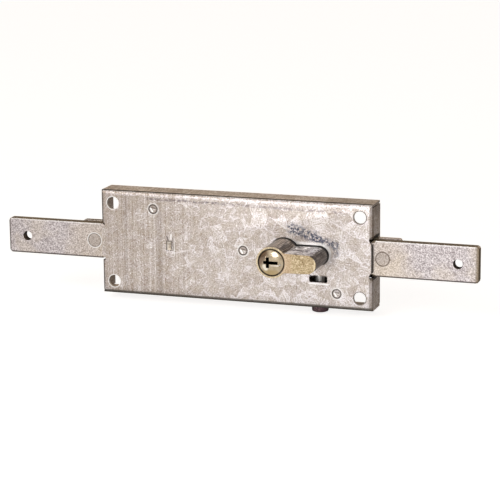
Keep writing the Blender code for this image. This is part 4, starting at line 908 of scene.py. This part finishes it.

# %% [markdown]
# ## Bars, slides and their rivets
# The bars are cut from rolled strip, so their long edges and ends are rounded, while the seat of the rivet and the
# rod's hole stay sharp. Only the outline's edges are bevelled here, with bmesh. The bars' rims, the holes' walls and
# the left slide's top take a darker edge finish that paints the shade on them. Each rivet's head is swelled to fill
# its seat, as hammering does.

# %% Bars, slides and rivets
BAR_HALF, BAR_END, BAR_ROUND = 0.0098, 0.1343, 0.0003
BAR_END_DEPTH, SHARP_TURN, BAR_SMOOTH_DEGREES = 0.0015, 1.0, 20
ROD_HOLE_X, ROD_HOLE_RADIUS, ROD_HOLE_NEAR = 0.1232, 0.0027, 0.003
RIVET_HEAD_RADIUS, RIVET_SWELLED = 0.0038, 0.00408
# the left slide's top takes the darker finish, painted shade
for word, way, slide_edge in (("right", 1, bar_zinc), ("left", -1, shaded_edge_steel)):
    body = f"{word}_bolt"
    bm = merged_copy(f"{word}_bolt_bar")
    outline = []
    for edge in bm.edges:
        on_outline = [abs(v.co.z) > BAR_HALF - NEAR or abs(v.co.x) > BAR_END - BAR_END_DEPTH for v in edge.verts]
        if all(on_outline) and edge.calc_face_angle(0) > SHARP_TURN:
            outline.append(edge)
    bmesh.ops.bevel(bm, geom=outline, offset=BAR_ROUND, affect="EDGES", segments=3, profile=0.5, material=-1)
    bar = finish_piece(f"{word}_flat_bar", bm, body, [bar_zinc, shaded_edge_steel], BAR_SMOOTH_DEGREES)
    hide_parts(f"{word}_bolt_bar")
    # painted shade: the rims and the rod hole's walls take the darker finish
    for face in bar.data.polygons:
        on_rim = abs(face.center.z) > BAR_HALF - NEAR or abs(face.center.x) > BAR_END - NEAR
        hole_reach = math.hypot(face.center.x - way * ROD_HOLE_X, face.center.z)
        in_hole = abs(face.normal.y) < ACROSS and hole_reach < ROD_HOLE_NEAR
        face.material_index = 1 if on_rim or in_hole else 0
    slide = refined(f"{word}_slide", f"{word}_slide_plate", body, [bar_zinc, slide_edge], 0.15)
    for face in slide.data.polygons:
        face.material_index = 1 if face.normal.z > FACING else 0
    bm = merged_copy(f"{word}_bolt_rivet")
    swelled(bm, (way * RIVET_MM / 1000, 0), RIVET_HEAD_RADIUS, RIVET_SWELLED)
    refined(f"{word}_bolt_rivet", f"{word}_rivet", body, [bar_zinc], 0, bm)
    print(bar.name, "with", len(outline), "rounded edges")

# %% [markdown]
# ## Riveted ends
# The three pillars that hold the cover are turned down at the front and hammered over in their holes, so each end is
# a shallow dish with a raised rim. The guide lug is staked the same way. The end face is inset and its middle sunk by
# a tenth of a millimetre, or three tenths on the lug, and the bevel rounds the rim.

# %% Pillars and lug
DISH_RIM, DISH_DEPTH = 0.0004, 0.0001
TENON_RADIUS, TENON_SWELLED, END_NEAR = 0.0025, 0.00277, 0.00001


def riveted(node, name, finish, depth):
    """A node whose front end is dished and, if it is round, swelled to fill its hole."""
    bm = merged_copy(node)
    front = min(vert.co.y for vert in bm.verts)
    ends = []
    for face in bm.faces:
        if face.normal.y < -FACING and abs(face.calc_center_median().y - front) < END_NEAR:
            ends.append(face)
    bmesh.ops.inset_region(bm, faces=ends, thickness=DISH_RIM, depth=-depth, use_even_offset=True)
    low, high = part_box(node)
    swelled(bm, ((low.x + high.x) / 2, (low.z + high.z) / 2), TENON_RADIUS, TENON_SWELLED)
    return refined(node, name, "lock_case", [finish], 0.05, bm)


for word in ("upper_left", "pivot", "lower_right"):
    riveted(f"{word}_pillar", f"{word}_rivet_end", case_zinc, DISH_DEPTH)
riveted("guide_lug", "staked_lug_end", steel, 3 * DISH_DEPTH)
print("four riveted ends")

# %% [markdown]
# ## Half cylinder and plug
# The half cylinder's front is milled clean, the top of its lobe is worn, and its long sides are browned, so each face
# takes one of three finishes by the way it looks. The plug's rim is rounded over, which gives the thin bright ring
# and, with the painted shade round the rim, the dark ring beside it.

# %% Half cylinder and plug
LOBE_START, FRONT_NEAR = 0.034, 0.0005
PLUG_RIM, PLUG_RIM_FROM, PLUG_RIM_DEPTH = 0.00035, 0.00695, 0.0012
cylinder = refined("cylinder_body", "half_cylinder", "lock_case", [front_brass, side_brass, worn_brass], 0.15)
front_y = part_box("cylinder_body")[0].y
for face in cylinder.data.polygons:
    face.material_index = 1
    if face.normal.y < -FACING and abs(face.center.y - front_y) < FRONT_NEAR:
        face.material_index = 0
    elif face.normal.z > FACING and face.center.x > LOBE_START:
        face.material_index = 2

bm = merged_copy("cylinder_plug")
face_y = min(vert.co.y for vert in bm.verts)
axis_x = AXIS[0] / 1000
rim = []
for edge in bm.edges:
    reach = [math.hypot(vert.co.x - axis_x, vert.co.z) for vert in edge.verts]
    depth = [vert.co.y for vert in edge.verts]
    if min(reach) > PLUG_RIM_FROM and max(depth) < face_y + PLUG_RIM_DEPTH:
        rim.append(edge)
bmesh.ops.bevel(bm, geom=rim, offset=PLUG_RIM, affect="EDGES", segments=4, profile=0.5, material=-1)
refined("cylinder_plug", "turned_plug", "plug", [plug_brass], 0.08, bm)
print(len(rim), "rim edges rounded on the plug")

# %% [markdown]
# ## Threads
# A rod screws into each bar, and a screw from below holds the half cylinder. A thread is a small triangle spun round
# its axis while it climbs by its pitch, which bmesh's spin does with its step vector. The triangle's base is sunk a
# little into the metal so no gap shows.

# %% Threads
THREAD_STEPS, THREAD_SMOOTH_DEGREES = 24, 30
THREAD_HALF, THREAD_SUNK = 0.42, 0.0001


def thread(bm, centre, axis, base, crest, pitch, turns, first):
    """A ridge from the base radius to the crest radius, climbing along the axis from the first place."""
    axis = Vector(axis)
    out = Vector((0, 0, 1)) if axis.z == 0 else Vector((1, 0, 0))
    start = Vector(centre) + axis * first
    half = axis * pitch * THREAD_HALF
    ridge = (out * base + half, out * crest, out * base - half)
    corners = [bm.verts.new(start + shift) for shift in ridge]
    wire = [bm.edges.new((corners[k], corners[(k + 1) % 3])) for k in range(3)]
    made = bmesh.ops.spin(
        bm, geom=corners + wire, cent=Vector(centre), axis=axis, dvec=axis * (pitch / THREAD_STEPS),
        angle=2 * math.pi * turns, steps=round(THREAD_STEPS * turns),
    )
    last = [item for item in made["geom_last"] if isinstance(item, bmesh.types.BMVert)]
    bm.faces.new(corners)
    bm.faces.new(last)
    bmesh.ops.recalc_face_normals(bm, faces=bm.faces)


ROD_CREST, ROD_PITCH, ROD_TURNS, ROD_THREAD_START = 0.0024, 0.001, 3.8, 0.0021
for word, way in (("right", 1), ("left", -1)):
    bm = bmesh.new()
    centre = (way * ROD_HOLE_X, 0, 0)
    base = ROD_HOLE_RADIUS + THREAD_SUNK
    thread(bm, centre, (0, 1, 0), base, ROD_CREST, ROD_PITCH, ROD_TURNS, ROD_THREAD_START)
    ridge = finish_piece(f"{word}_rod_thread", bm, f"{word}_bolt", [thread_steel], THREAD_SMOOTH_DEGREES)
    print(ridge.name, len(ridge.data.polygons), "faces")

# %% [markdown]
# ## Fixing screw
# The screw's head is dark under the case, and its bright shank crosses the slot in the front plate. Its outline is
# spun about its own axis, and the thread is laid round the core.

# %% Fixing screw
SCREW_X, SCREW_Y = 0.0463, 0.0075
HEAD_TOP, HEAD_LOW = -0.0293, -0.0323
HEAD_RADIUS, HEAD_ROUND, HEAD_SHADE = 0.00455, 0.0009, 0.0005
SHANK_RADIUS, CORE_RADIUS, CREST_RADIUS, SCREW_PITCH = 0.0025, 0.0021, 0.00255, 0.0008
SHANK_END, TIP_Z, TIP_TAPER = -0.008, 0.003, 0.0006
SCREW_FACETS = 48

outline = [
    (0, HEAD_LOW),
    (HEAD_RADIUS - HEAD_ROUND, HEAD_LOW),
    (HEAD_RADIUS - HEAD_ROUND / 4, HEAD_LOW + HEAD_ROUND / 3),
    (HEAD_RADIUS, HEAD_LOW + HEAD_ROUND),
    (HEAD_RADIUS, HEAD_TOP),
    (SHANK_RADIUS, HEAD_TOP),
    (SHANK_RADIUS, SHANK_END),
    (CORE_RADIUS, SHANK_END + SHANK_RADIUS - CORE_RADIUS),
    (CORE_RADIUS, TIP_Z - TIP_TAPER),
    (CORE_RADIUS - TIP_TAPER, TIP_Z),
    (0, TIP_Z),
]
bm = bmesh.new()
points = [bm.verts.new((SCREW_X + reach, SCREW_Y, height)) for reach, height in outline]
line = [bm.edges.new(pair) for pair in zip(points, points[1:])]
bmesh.ops.spin(
    bm, geom=points + line, cent=(SCREW_X, SCREW_Y, 0), axis=(0, 0, 1), angle=2 * math.pi, steps=SCREW_FACETS,
    use_merge=True,
)
bmesh.ops.remove_doubles(bm, verts=bm.verts, dist=DOUBLE)
bmesh.ops.recalc_face_normals(bm, faces=bm.faces)
turns = int((TIP_Z - TIP_TAPER - SHANK_END) / SCREW_PITCH) - 1
place, base = (SCREW_X, SCREW_Y, 0), CORE_RADIUS - THREAD_SUNK
thread(bm, place, (0, 0, 1), base, CREST_RADIUS, SCREW_PITCH, turns, SHANK_END + SCREW_PITCH)
screw = finish_piece("threaded_fixing_screw", bm, "lock_case", [screw_black, bright_shank_steel])
for face in screw.data.polygons:
    face.material_index = 0 if face.center.z < HEAD_TOP + HEAD_SHADE else 1
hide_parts("fixing_screw")
print("screw with", turns, "turns of thread")

# %% [markdown]
# ## Pieces whose CAD shape is already right
# The rest of the mechanism is hidden behind the plates. It keeps its CAD meshes and only gets its real metals:
# zinc-plated steel, yellow on the rocker, a sintered cam, spring steel for the clip and springs, and brass pins.

# %% Metals for the remaining nodes
METALS = {"rocker": hidden_steel, "cylinder_cam": cam_steel, "cam_clip": spring_wire}
METALS.update(dict.fromkeys(("pivot_spacer", "pivot_washer", "rocker_upper_pin", "rocker_lower_pin"), steel))
for k in range(1, 6):
    METALS[f"key_pin_{k}"] = pin_brass
    METALS[f"driver_pin_{k}"] = pin_brass
    METALS[f"pin_spring_{k}"] = spring_wire
for name, metal in METALS.items():
    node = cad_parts[name]
    for slot in node.material_slots:
        slot.material = metal
print(len(METALS), "CAD nodes dressed")
